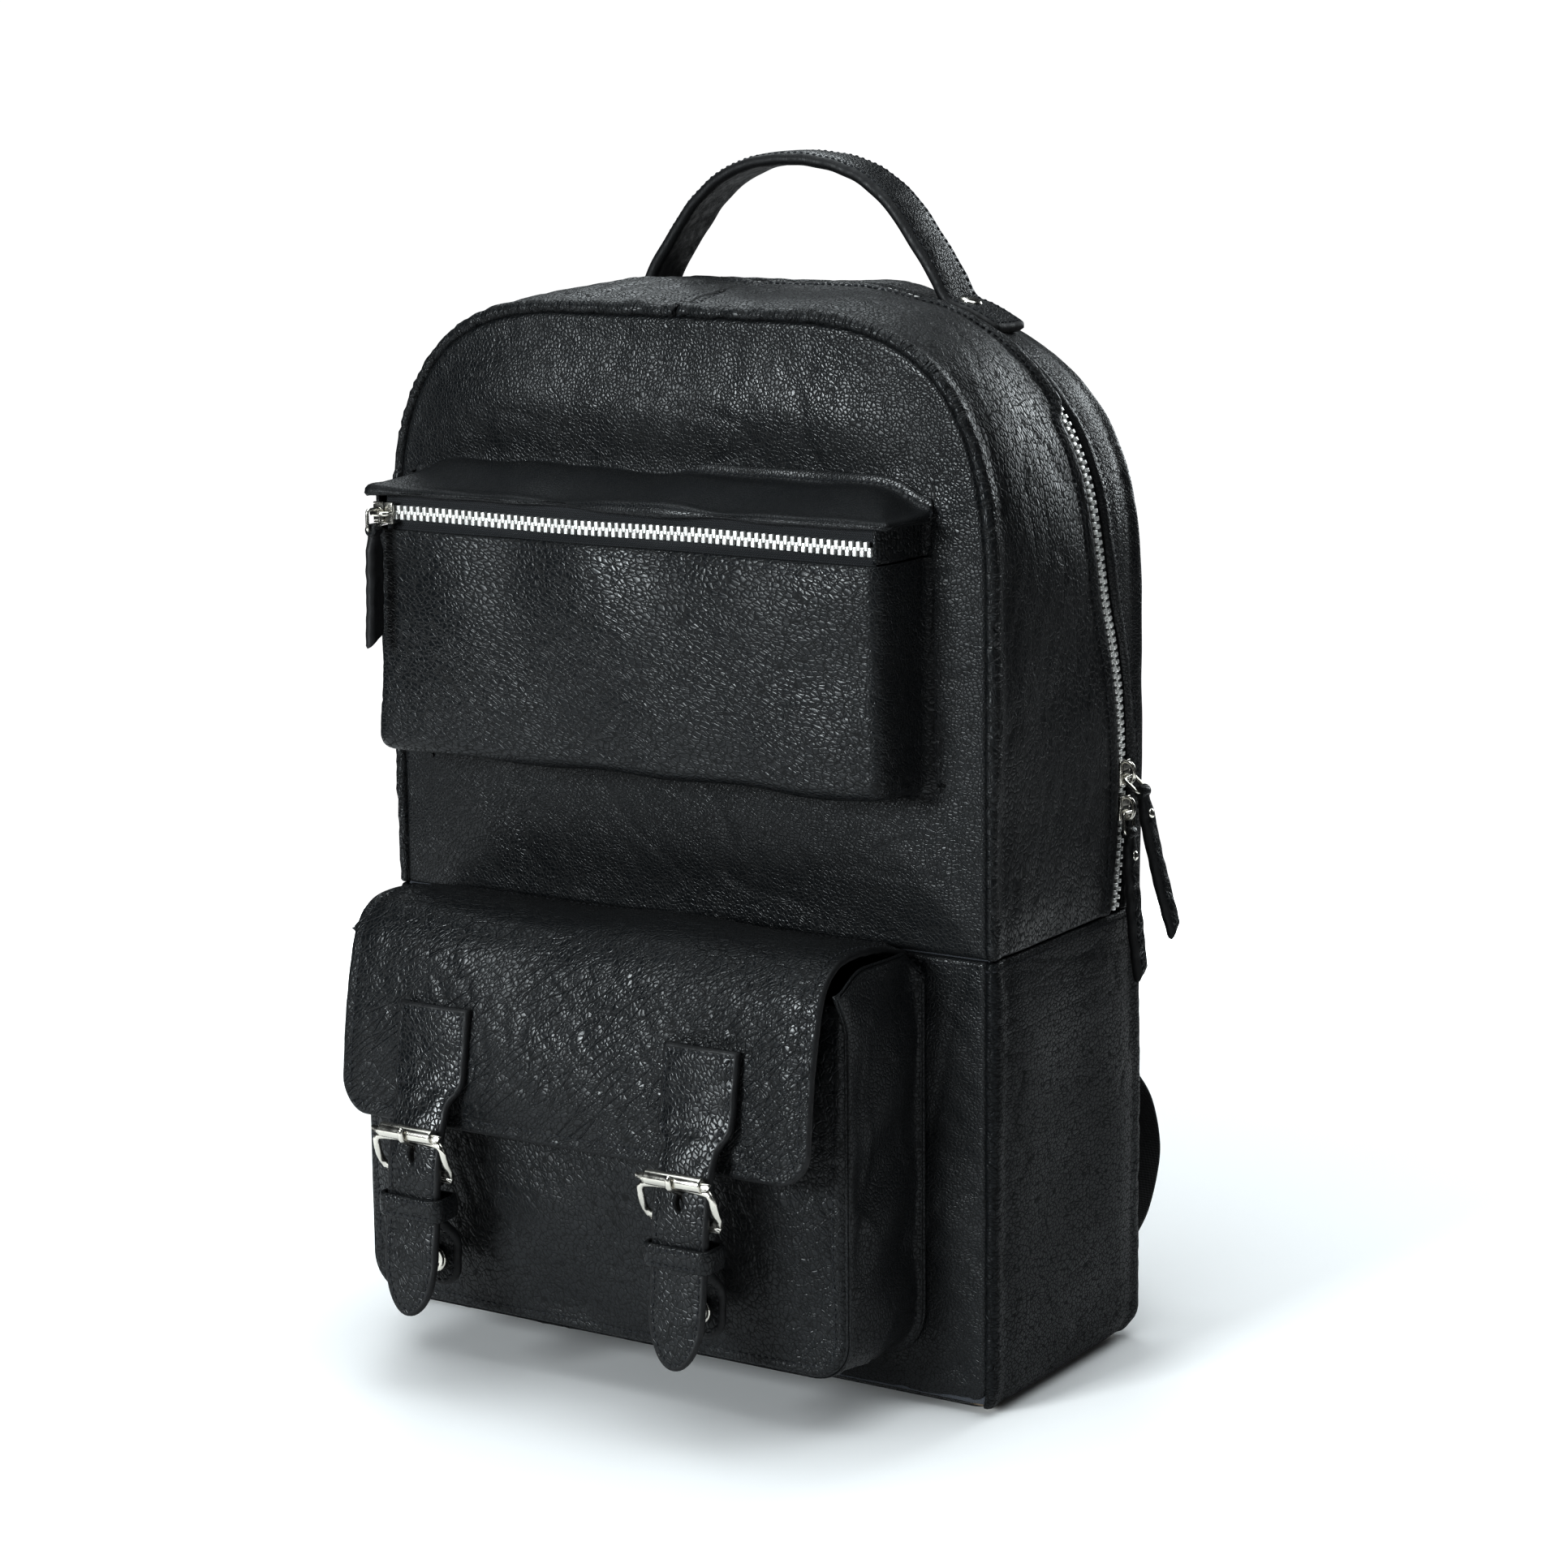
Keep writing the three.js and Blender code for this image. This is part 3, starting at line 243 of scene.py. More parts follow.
# The section of a panel that wraps round a seam, from the side of the body to the bottom of the
# seam's groove: how far it stands out from the side, and how far it is behind the seam's face.
WRAP_SECTION = smooth_path(
    [(0, 20), (-0.5, 13), (-0.9, 9), (-0.2, 5.4), (0.4, 2.9),
     (-0.3, 0.4), (-1.9, -1.1), (-3.7, -0.6), (-4.7, 1.0), (-5.1, 3.6)],
    60,
) * MM
WRAP_START = 20 * MM
WRAP_LENGTH = path_length(WRAP_SECTION)
WRAP_AT = np.linspace(0, WRAP_LENGTH, len(WRAP_SECTION))
FRONT_WRAP = FRONT_Y + WRAP_START - WRAP_LENGTH
BACK_WRAP = BACK_Y - WRAP_START + WRAP_LENGTH
SEAM_INSET = 3.9 * MM
PUCKERS = FRONT_WRAP + 7 * MM


def tucked(points):
    """The walls turn in towards the base over the last centimetre above the floor."""
    amount = 6.0 * MM * np.clip(1 - points[:, 2] / (14 * MM), 0, 1) ** 2
    shrink = np.stack([1 - amount / HALF_WIDTH, 1 - amount / BACK_Y, np.ones(len(points))], 1)
    return points * shrink


def place_on_side(p):
    """Body surface for a flat pattern (u, v): v is the depth y, unrolled round the front and back seams."""
    u, v = p[:, 0], p[:, 1]
    front, back = FRONT_Y + WRAP_START - v, v - (BACK_Y - WRAP_START)
    into = np.maximum(front, back)
    out = np.where(into > 0, np.interp(into, WRAP_AT, WRAP_SECTION[:, 0]), 0)
    behind = np.interp(into, WRAP_AT, WRAP_SECTION[:, 1])
    y = np.where(front > 0, FRONT_Y + behind, np.where(back > 0, BACK_Y - behind, v))
    step = 0.3 * MM
    slope_out, slope_in = (
        (np.interp(into + step, WRAP_AT, values) - np.interp(into - step, WRAP_AT, values)) / (2 * step)
        for values in WRAP_SECTION.T
    )
    slope_out = np.where(into > 0, slope_out, 0)
    slope_in = np.where(into > step, slope_in, -1)
    side = np.where(front > back, -1.0, 1.0)
    points, normal = body_surface(u, y)
    forward = np.zeros_like(normal)
    forward[:, 1] = -slope_out * side
    bent = unit(normal * -slope_in[:, None] + forward)
    return tucked(points + normal * out[:, None]), bent


# ---- Flat patterns and leather pieces ---------------------------------------------------


def surface(base_of, sign=1.0):
    """A place function for a Sheet: points on a surface and its normals, found by small steps."""

    def place(p):
        step = 0.3 * MM
        across = base_of(p + (step, 0)) - base_of(p - (step, 0))
        along = base_of(p + (0, step)) - base_of(p - (0, step))
        return base_of(p), unit(np.cross(across, along)) * sign

    return place


def on_section(section):
    """Looks up a section's two coordinates by the distance along it."""
    at = np.linspace(0, path_length(section), len(section))
    return lambda s: (np.interp(s, at, section[:, 0]), np.interp(s, at, section[:, 1]))


def edge_distance(points, loop):
    """How far each point is from a closed outline of closely spaced points."""
    tree = KDTree(len(loop))
    for k, (x, y) in enumerate(loop):
        tree.insert((x, y, 0), k)
    tree.balance()
    nearest = np.array([tree.find((x, y, 0))[1] for x, y in points], int)
    best = np.full(len(points), np.inf)
    for first in (nearest - 1, nearest):
        a, b = loop[first], loop[(first + 1) % len(loop)]
        ab = b - a
        t = ((points - a) * ab).sum(1) / np.maximum((ab**2).sum(1), 1e-18)
        gap = points - (a + np.clip(t, 0, 1)[:, None] * ab)
        best = np.minimum(best, np.linalg.norm(gap, axis=1))
    return best


def inside(points, loop):
    x, y = points[:, :1], points[:, 1:2]
    a, b = loop, np.roll(loop, -1, axis=0)
    crosses = (a[:, 1] > y) != (b[:, 1] > y)
    rise = np.where(b[:, 1] == a[:, 1], 1e-12, b[:, 1] - a[:, 1])
    at = a[:, 0] + (y - a[:, 1]) * (b[:, 0] - a[:, 0]) / rise
    return (crosses & (x < at)).sum(1) % 2 == 1


def rounded_rectangle(x0, x1, z0, z1, radii, spacing=2 * MM):
    """Counterclockwise from the lower left, with a radius for each corner in that order."""
    corners = [(x0, z0, 180), (x1, z0, 270), (x1, z1, 0), (x0, z1, 90)]
    inward = [(1, 1), (-1, 1), (-1, -1), (1, -1)]
    points = []
    for (x, z, start), (sx, sz), r in zip(corners, inward, radii):
        steps = max(int(r * math.pi / 2 / spacing), 1) if r > 0 else 0
        for i in range(steps + 1):
            a = math.radians(start + 90 * (i / steps if steps else 0))
            points.append((x + sx * r + r * math.cos(a), z + sz * r + r * math.sin(a)))
    return dense_loop(np.array(points), spacing)


def dense_loop(loop, spacing):
    """The same closed outline, with points at most spacing apart."""
    points = []
    for a, b in zip(loop, np.roll(loop, -1, axis=0)):
        steps = max(int(np.ceil(np.linalg.norm(b - a) / spacing)), 1)
        points += [a + (b - a) * i / steps for i in range(steps)]
    return np.array(points)


def flat_mesh(outline, spacing, rings, holes=()):
    """Triangles over an outline, with rows of points that follow its edge."""
    points = [outline]
    tangent = unit(np.roll(outline, -1, axis=0) - np.roll(outline, 1, axis=0))
    inward = np.stack([-tangent[:, 1], tangent[:, 0]], 1)
    for ring in rings:
        row = outline + inward * ring
        points.append(row[(edge_distance(row, outline) > 0.9 * ring) & inside(row, outline)])
    low, high = outline.min(0), outline.max(0)
    xs = np.arange(low[0], high[0], spacing)
    ys = np.arange(low[1], high[1], spacing * 0.866)
    grid = np.array([(x + (k % 2) * spacing / 2, y) for k, y in enumerate(ys) for x in xs])
    keep = inside(grid, outline)
    grid = grid[keep]
    grid = grid[edge_distance(grid, outline) > (rings[-1] if rings else 0) + 0.6 * spacing]
    for hole in holes:
        grid = grid[~inside(grid, hole) & (edge_distance(grid, hole) > 0.4 * spacing)]
    points.append(grid)
    loops = [outline, *holes]
    edges, start = [], 0
    for loop in loops:
        edges += [(start + i, start + (i + 1) % len(loop)) for i in range(len(loop))]
        start += len(loop)
    everything = np.vstack([outline, *holes, *points[1:]]) / MM
    verts, _, faces, _, _, _ = delaunay_2d_cdt([Vector(p) for p in everything], edges, [], 1, 1e-5)
    p = np.array(verts)[:, :2] * MM
    f = np.array([face for face in faces if len(face) == 3])
    if holes:
        middle = p[f].mean(1)
        for hole in holes:
            keep = ~inside(middle, hole)
            f, middle = f[keep], middle[keep]
    return p, f


def border_edges(faces):
    """The directed edges that only one triangle uses."""
    edges = np.vstack([faces[:, [0, 1]], faces[:, [1, 2]], faces[:, [2, 0]]])
    key = np.sort(edges, axis=1)
    _, index, count = np.unique(key, axis=0, return_index=True, return_counts=True)
    return edges[index[count == 1]]


def vertex_normals(verts, faces):
    normal = np.cross(verts[faces[:, 1]] - verts[faces[:, 0]], verts[faces[:, 2]] - verts[faces[:, 0]])
    total = np.zeros_like(verts)
    for k in range(3):
        np.add.at(total, faces[:, k], normal)
    return unit(total)


def quarter_round(d, radius):
    """How far a rounded edge has dropped at distance d from the border."""
    inset = np.clip(radius - d, 0, radius)
    return radius - np.sqrt(np.maximum(radius**2 - inset**2, 0))


def make_object(name, verts, faces, materials, uv=None, face_material=None):
    mesh = bpy.data.meshes.new(name)
    mesh.from_pydata([tuple(v) for v in verts], [], [tuple(int(i) for i in f) for f in faces])
    for material in materials:
        mesh.materials.append(material)
    mesh.polygons.foreach_set("use_smooth", np.ones(len(mesh.polygons), bool))
    if face_material is not None:
        mesh.polygons.foreach_set("material_index", np.array(face_material, np.int32))
    if uv is not None:
        corners = np.empty(len(mesh.loops), np.int32)
        mesh.loops.foreach_get("vertex_index", corners)
        layer = mesh.uv_layers.new(name="flat")
        layer.data.foreach_set("uv", uv[corners].astype(np.float32).ravel())
    mesh.update()
    piece = bpy.data.objects.new(name, mesh)
    bpy.context.scene.collection.objects.link(piece)
    return piece


def finish_piece(piece, body, replaced=()):
    """Rides on a body, unless body is None: such a piece is left without one."""
    if body is not None:
        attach(piece, body)
    if replaced:
        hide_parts(*replaced)
    return piece


def plain_piece(name, mesh, material, body, slot, *replaced):
    """A piece of one material that rides on a body and stands for nodes of the CAD model."""
    return finish_piece(make_object(name, *mesh, [material]), body, replaced)


def metal_piece(name, mesh, body, *replaced):
    return plain_piece(name, mesh, NICKEL, body, "nickel", *replaced)


def in_mm(pairs):
    return [(a * MM, b * MM) for a, b in pairs]


def both_ends(profile):
    """A turned profile and its mirror image beyond the middle."""
    return [(r, -h) for r, h in profile] + [(r, h) for r, h in reversed(profile)]


def straight(x0, y0, x1, y1, count):
    """Evenly spaced places of a flat pattern, from one to another."""
    return np.linspace((x0, y0), (x1, y1), count)


BORDER_SLACK = 0.002 * MM


class Sheet:
    """A piece of leather cut to a flat outline and laid on a surface. relief gives its height above it."""

    def __init__(self, outline, place, relief, thickness=LEATHER, roll=None, spacing=2.2 * MM, holes=()):
        self.outline, self.place, self.relief = outline, place, relief
        self.thickness, self.spacing, self.holes = thickness, spacing, holes
        self.full_round = roll is None
        self.roll = thickness / 2 if roll is None else roll

    def height(self, p, base):
        d = edge_distance(p, self.outline)
        drop = quarter_round(d, self.roll)
        return self.relief(p, base, d) - drop, drop

    def at(self, p, lift=0.0):
        """Points and normals on the finished face at places of the flat pattern."""
        base, normal = self.place(p)
        height, _ = self.height(p, base)
        return base + normal * (height + lift)[:, None], normal

    def build(self, name, leather, replaced=(), body="root", edge=None):
        radius = self.roll
        rings = [radius * f for f in ((0.06, 0.2, 0.45, 0.8) if radius > 1.2 * MM else (0.12, 0.45))]
        p, faces = flat_mesh(self.outline, self.spacing, rings + [radius + 0.8 * MM], self.holes)
        base, normal = self.place(p)
        height, drop = self.height(p, base)
        outer = base + normal * height[:, None]
        across = np.cross(outer[faces[:, 1]] - outer[faces[:, 0]], outer[faces[:, 2]] - outer[faces[:, 0]])
        if (across * normal[faces[:, 0]]).sum() < 0:
            faces = faces[:, ::-1]
        rim = border_edges(faces)
        count = len(p)
        if self.full_round:
            under = base + normal * (height + 2 * drop - self.thickness)[:, None]
            shared = np.zeros(count, bool)
            shared[rim[edge_distance(p[rim[:, 0]], self.outline) < BORDER_SLACK][:, 0]] = True
        else:
            under = outer - vertex_normals(outer, faces) * self.thickness
            shared = np.zeros(count, bool)
        index = np.arange(count) + count
        index[shared] = np.arange(count)[shared]
        back = index[faces[:, ::-1]]
        sides = [(b, a, index[a], index[b]) for a, b in rim if not (shared[a] and shared[b])]
        sides = [tuple(dict.fromkeys(side)) for side in sides]
        verts = np.vstack([outer, under])
        everything = [*map(tuple, faces), *map(tuple, back), *sides]
        border = edge_distance(p, self.outline)[faces].max(1) < radius * 1.02
        marks = [*np.where(border, 1, 0), *np.ones(len(back), int), *np.ones(len(sides), int)]
        piece = make_object(name, verts, everything, [leather, edge or leather], np.vstack([p, p]), marks)
        drop_loose(piece)
        return finish_piece(piece, body, replaced)


def drop_loose(piece):
    """Removes the points that no face uses."""
    mesh = bmesh.new()
    mesh.from_mesh(piece.data)
    bmesh.ops.delete(mesh, geom=[v for v in mesh.verts if not v.link_faces], context="VERTS")
    mesh.to_mesh(piece.data)
    mesh.free()


# ---- Threads, tubes and blocks ----------------------------------------------------------

STITCH = {"pitch": 3.1 * MM, "length": 2.3 * MM, "radius": 0.4 * MM}


def ring_faces(rows, sides, start=0, closed=False):
    """Faces between rows of points in rings, with a cap at each end unless the last row meets the first."""
    faces = []
    for i in range(rows if closed else rows - 1):
        here, after = start + i * sides, start + (i + 1) % rows * sides
        for j in range(sides):
            k = (j + 1) % sides
            faces.append((here + j, here + k, after + k, after + j))
    if not closed:
        faces.append(tuple(start + j for j in reversed(range(sides))))
        faces.append(tuple(start + (rows - 1) * sides + j for j in range(sides)))
    return faces


def stitch_meshes(rows):
    """Verts and faces of single stitches along rows of points and normals on a surface."""
    verts, faces = [], []
    rings = [(-0.5, 0.3, -0.9), (-0.28, 1, 0.2), (0, 1.1, 0.55), (0.28, 1, 0.2), (0.5, 0.3, -0.9)]
    sides = 6
    for points, normals in rows:
        steps = np.linalg.norm(np.diff(points, axis=0), axis=1)
        along = np.concatenate([[0], np.cumsum(steps)])
        count = max(int(along[-1] / STITCH["pitch"]), 1)
        for k in range(count):
            at = (k + 0.5) * along[-1] / count
            centre, normal = on_path(points, along, at), unit(on_path(normals, along, at))
            forward = unit(on_path(points, along, at + 1 * MM) - on_path(points, along, at - 1 * MM))
            side = unit(np.cross(normal, forward))
            start = len(verts)
            for x, radius, lift in rings:
                for j in range(sides):
                    a = 2 * math.pi * j / sides
                    r = STITCH["radius"] * radius
                    offset = side * r * math.cos(a) + normal * (r * math.sin(a) + STITCH["radius"] * lift)
                    verts.append(centre + forward * x * STITCH["length"] + offset)
            faces += ring_faces(len(rings), sides, start)
    return verts, faces


def stitching(name, rows, body, slot="trim_leather"):
    """One object holding the thread of several seams."""
    return plain_piece(name, stitch_meshes(rows), THREAD, body, slot)


def seam_at(sheet, outline, inset, skip=None):
    """A row of stitches that follows part of a sheet's outline at a distance from its edge."""
    tangent = unit(np.roll(outline, -1, axis=0) - np.roll(outline, 1, axis=0))
    row = outline + np.stack([-tangent[:, 1], tangent[:, 0]], 1) * inset
    keep = edge_distance(row, outline) > 0.93 * inset
    if skip is not None:
        keep &= ~skip(row)
    return [sheet.at(part) for part in runs(row, keep)]


def runs(row, keep):
    """The unbroken stretches of a closed row of points where keep is true."""
    if keep.all():
        return [np.vstack([row, row[:1]])]
    first = int(np.argmin(keep))
    row, keep = np.roll(row, -first, axis=0), np.roll(keep, -first)
    parts, part = [], []
    for point, kept in zip(row, keep):
        if kept:
            part.append(point)
        elif len(part) > 2:
            parts.append(np.array(part))
            part = []
        else:
            part = []
    if len(part) > 2:
        parts.append(np.array(part))
    return parts


def tube(path, radii, sides=12, closed=False, up=(1, 0, 0), flat=1.0):
    """Verts and faces of a tube; flat is its width along up relative to its other width."""
    path = np.array(path, float)
    radii = np.broadcast_to(np.array(radii, float), (len(path),))
    if closed:
        tangent = unit(np.roll(path, -1, axis=0) - np.roll(path, 1, axis=0))
    else:
        tangent = unit(np.gradient(path, axis=0))
    verts = []
    up = np.array(up, float)
    for point, t, radius in zip(path, tangent, radii):
        side = unit(np.cross(up, t))
        third = unit(np.cross(t, side))
        for j in range(sides):
            a = 2 * math.pi * j / sides
            verts.append(point + side * radius * math.cos(a) + third * radius * flat * math.sin(a))
    return verts, ring_faces(len(path), sides, closed=closed)


def joined(parts):
    verts, faces = [], []
    for part_verts, part_faces in parts:
        start = len(verts)
        verts += list(part_verts)
        faces += [tuple(i + start for i in face) for face in part_faces]
    return verts, faces


def shaped_block(size, bevel, matrix=None, segments=2):
    """Verts and faces of a block with bevelled edges."""
    mesh = bmesh.new()
    bmesh.ops.create_cube(mesh, size=1)
    bmesh.ops.scale(mesh, vec=size, verts=mesh.verts)
    bmesh.ops.bevel(mesh, geom=mesh.edges, offset=bevel, segments=segments, profile=0.6, affect="EDGES")
    if matrix is not None:
        bmesh.ops.transform(mesh, matrix=matrix, verts=mesh.verts)
    mesh.verts.index_update()
    verts = [np.array(v.co) for v in mesh.verts]
    faces = [tuple(v.index for v in f.verts) for f in mesh.faces]
    mesh.free()
    return verts, faces


def turned_profile(profile, centre, axis, sides=40):
    """Verts and faces of a closed profile of (radius, height) turned about an axis."""
    axis = unit(np.array(axis, float))
    first = unit(np.cross(axis, (0.3, 0.5, 0.8)))
    second = np.cross(axis, first)
    verts = []
    for r, h in profile:
        for j in range(sides):
            a = 2 * math.pi * j / sides
            verts.append(np.array(centre) + axis * h + (first * math.cos(a) + second * math.sin(a)) * r)
    return verts, ring_faces(len(profile), sides)


# ---- Materials --------------------------------------------------------------------------


class Graph:
    """A material's node tree, with short ways to add and link nodes."""

    def __init__(self, name):
        self.material = bpy.data.materials.new(name)
        self.material.use_nodes = True
        self.tree = self.material.node_tree
        self.shader = self.tree.nodes["Principled BSDF"]

    def node(self, kind, inputs=(), **settings):
        node = self.tree.nodes.new(kind)
        for key, value in settings.items():
            setattr(node, key, value)
        for key, value in dict(inputs).items():
            self.link(value, node.inputs[key])
        return node

    def link(self, value, socket):
        if isinstance(value, bpy.types.NodeSocket):
            self.tree.links.new(value, socket)
        else:
            socket.default_value = value

    def math(self, operation, a, b=0.0):
        node = self.node("ShaderNodeMath", operation=operation)
        self.link(a, node.inputs[0])
        self.link(b, node.inputs[1])
        return node.outputs[0]

    def vector(self, operation, inputs, output=0):
        return self.node("ShaderNodeVectorMath", inputs, operation=operation).outputs[output]

    def ramp(self, value, low, high, to_low=0.0, to_high=1.0):
        node = self.node("ShaderNodeMapRange", interpolation_type="SMOOTHSTEP")
        for key, number in (("Value", value), ("From Min", low), ("From Max", high)):
            self.link(number, node.inputs[key])
        self.link(to_low, node.inputs["To Min"])
        self.link(to_high, node.inputs["To Max"])
        return node.outputs[0]

    def mix(self, factor, a, b):
        node = self.node("ShaderNodeMix", data_type="RGBA")
        self.link(factor, node.inputs[0])
        self.link(a, node.inputs[6])
        self.link(b, node.inputs[7])
        return node.outputs[2]

    def color(self, factor, base, dark, light):
        """The base colour, from dark to light times a colour."""
        self.link(self.mix(factor, tint(base, dark), tint(base, light)), self.shader.inputs["Base Color"])

    def roughness(self, value, low, high, to_low, to_high):
        self.link(self.ramp(value, low, high, to_low, to_high), self.shader.inputs["Roughness"])

    def noise(self, vector, size, detail=2.0, distortion=0.0):
        inputs = {"Vector": vector, "Scale": 1 / size, "Detail": detail, "Distortion": distortion}
        return self.node("ShaderNodeTexNoise", inputs).outputs[0]

    def cells(self, vector, size):
        """The distance to the nearest wall between cells of that size."""
        inputs = {"Vector": vector, "Scale": 1 / size}
        return self.node("ShaderNodeTexVoronoi", inputs, feature="DISTANCE_TO_EDGE").outputs["Distance"]

    def coordinates(self, stretch=(1, 1, 1), slant=0.0):
        """Object coordinates turned in the XZ plane by slant degrees, then stretched."""
        source = self.node("ShaderNodeTexCoord").outputs["Object"]
        turn = self.node("ShaderNodeMapping", {"Vector": source}, vector_type="POINT")
        turn.inputs["Rotation"].default_value = (0, math.radians(slant), 0)
        scale = self.node("ShaderNodeMapping", {"Vector": turn.outputs[0]}, vector_type="POINT")
        scale.inputs["Scale"].default_value = [1 / s for s in stretch]
        return scale.outputs[0]

    def warped(self, vector, size, amount):
        """Coordinates pushed about by a noise of that size."""
        noise = self.node("ShaderNodeTexNoise", {"Vector": vector, "Scale": 1 / size, "Detail": 1.0})
        offset = self.vector("SUBTRACT", {0: noise.outputs["Color"], 1: (0.5, 0.5, 0.5)})
        push = self.vector("SCALE", {0: offset, "Scale": amount})
        return self.vector("ADD", {0: vector, 1: push})

    def bump(self, height, distance):
        node = self.node("ShaderNodeBump", {"Height": height, "Distance": distance, "Strength": 1.0})
        self.link(node.outputs[0], self.shader.inputs["Normal"])


def tint(color, factor):
    return (*(min(c * factor, 1) for c in color), 1)


BLACK = (0.0062, 0.0076, 0.0090)
SCRATCH = 0.02 * MM
COOL_LIGHT = (0.93, 0.98, 1.0)


def puckers(g, centre):
    """Short creases across a seam's ridge, which lies at v = centre of the flat pattern."""
    flat = g.node("ShaderNodeTexCoord").outputs["UV"]
    across = g.node("ShaderNodeSeparateXYZ", {"Vector": flat}).outputs[1]
    away = g.math("ABSOLUTE", g.math("SUBTRACT", across, centre))
    ridge = g.ramp(away, 3.0 * MM, 8.0 * MM, 1.0, 0.0)
    squeezed = g.vector("MULTIPLY", {0: flat, 1: (1, 0.35, 1)})
    swing = g.math("ABSOLUTE", g.math("SUBTRACT", g.noise(squeezed, 5.0 * MM, 1.5, 0.6), 0.5))
    return g.math("MULTIPLY", g.math("MULTIPLY", g.ramp(swing, 0.0, 0.06, 1.0, 0.0), ridge), 2.6)


def leather(
    name, cell, depth, gloss=(0.30, 0.50), stretch=(1, 1, 1), slant=0.0, veins=0.0, vein_size=9 * MM,
    vein_stretch=(1, 1, 1), vein_slant=0.0, crackle=0.0, crackle_at=None, pucker_at=None, shine=0.5,
):
    """Pebbled black leather. cell is the size of a pebble and depth its height; veins are fine creases
    along a direction of their own; crackle is a net of them, everywhere or from a low to a high X.
    pucker_at is where a puckered seam crosses the flat pattern; shine is the strength of highlights."""
    g = Graph(name)
    plain = g.coordinates()
    grain = g.warped(g.coordinates(stretch=stretch, slant=slant), cell * 5, cell * 1.8)
    walls = g.cells(grain, cell)
    pebble = g.ramp(walls, 0.0, 0.17)
    dome = g.ramp(walls, 0.0, 0.5)
    pores = g.noise(plain, cell * 0.3, 3.0)
    large = g.noise(plain, 55 * MM, 3.0)
    patches = g.ramp(g.noise(plain, 30 * MM, 2.0), 0.35, 0.65, 0.65, 1.0)
    height = g.math("ADD", g.math("MULTIPLY", pebble, 0.50), g.math("MULTIPLY", dome, 0.42))
    height = g.math("ADD", height, g.math("MULTIPLY", pores, 0.08))
    height = g.math("MULTIPLY", height, patches)
    if veins:
        lines = g.coordinates(stretch=vein_stretch, slant=vein_slant)
        lines = g.warped(lines, vein_size * 3, vein_size * 0.6)
        vein = g.ramp(g.cells(lines, vein_size), 0.0, 0.085, 1.0, 0.0)
        fade = g.ramp(g.noise(plain, 26 * MM, 1.0), 0.35, 0.6, 0.35, 1.0)
        height = g.math("SUBTRACT", height, g.math("MULTIPLY", g.math("MULTIPLY", vein, fade), veins))
    if crackle:
        net = g.ramp(g.cells(g.warped(plain, 14 * MM, 6 * MM), 4.6 * MM), 0.0, 0.09, 1.0, 0.0)
        if crackle_at is not None:
            across = g.node("ShaderNodeSeparateXYZ", {"Vector": plain}).outputs[0]
            net = g.math("MULTIPLY", net, g.ramp(across, *crackle_at))
        height = g.math("SUBTRACT", height, g.math("MULTIPLY", net, crackle))
    if pucker_at is not None:
        height = g.math("SUBTRACT", height, puckers(g, pucker_at))
    g.bump(height, depth)
    # Painted shade: the base colour darkens in the cracks between pebbles, where shade falls, and a large
    # noise adds a random change of tone.
    painted_shade_and_tone = g.math("ADD", g.math("MULTIPLY", pebble, 0.7), g.math("MULTIPLY", large, 0.3))
    g.color(painted_shade_and_tone, BLACK, 0.25, 1.3)
    smooth = g.ramp(large, 0.3, 0.7, gloss[1], gloss[0])
    g.roughness(pebble, 0.0, 0.8, 0.8, smooth)
    g.shader.inputs["Specular IOR Level"].default_value = shine
    return g.material


def cut_edge(name, color):
    """The painted edge of cut leather: matt, with faint strokes along it."""
    g = Graph(name)
    plain = g.coordinates()
    strokes = g.noise(g.coordinates(stretch=(1, 1, 5)), 0.9 * MM, 3.0)
    g.color(strokes, color, 0.6, 1.5)
    g.roughness(g.noise(plain, 3 * MM, 2.0), 0.2, 0.8, 0.45, 0.7)
    g.bump(strokes, 0.12 * MM)
    return g.material


def metal(name, color, gloss, metal_share=1.0):
    """Plated metal with faint scratches, smears and a change of colour. Below fully metallic, the rest is
    diffuse base colour: painted sheen that stands in for the reflection of a bright softbox.
    """
    g = Graph(name)
    plain = g.coordinates()
    smear = g.noise(plain, 6 * MM, 4.0)
    lines = g.noise(g.coordinates(stretch=(6, 1, 1), slant=20), 0.5 * MM, 3.0)
    g.color(smear, color, 0.82, 1.06)
    g.roughness(smear, 0.25, 0.75, gloss[0], gloss[1])
    g.shader.inputs["Metallic"].default_value = metal_share
    g.bump(g.math("ADD", lines, g.math("MULTIPLY", smear, 0.5)), SCRATCH)
    return g.material


def woven(name, color, rib, depth, chevron=False):
    """Tape or webbing, woven along its flat pattern: chevrons on a tape, a ribbed twill on webbing."""
    g = Graph(name)
    flat = g.node("ShaderNodeTexCoord").outputs["UV"]
    parts = g.node("ShaderNodeSeparateXYZ", {"Vector": flat})
    along, across = parts.outputs[0], parts.outputs[1]
    if chevron:
        fold = g.math("PINGPONG", across, 2.2 * MM)
        phase = g.math("ADD", along, fold)
    else:
        phase = g.math("ADD", along, g.math("MULTIPLY", across, 0.35))
    ribs = g.math("SINE", g.math("MULTIPLY", phase, 2 * math.pi / rib))
    yarn = g.math("SINE", g.math("MULTIPLY", across, 2 * math.pi / (rib * 0.8)))
    fuzz = g.noise(g.coordinates(), 0.35 * MM, 2.0)
    height = g.math("ADD", g.math("MULTIPLY", ribs, 0.35), g.math("MULTIPLY", yarn, 0.25))
    height = g.math("ADD", height, g.math("MULTIPLY", fuzz, 0.5))
    g.bump(height, depth)
    # Painted shade and highlight: the colour is darker where the weave is low and lighter where it is raised.
    painted_shade_and_tone = g.ramp(height, -0.3, 0.9)
    g.color(painted_shade_and_tone, color, 0.4, 1.6)
    g.roughness(fuzz, 0.2, 0.8, 0.72, 0.95)
    g.shader.inputs["Sheen Weight"].default_value = 0.15
    return g.material


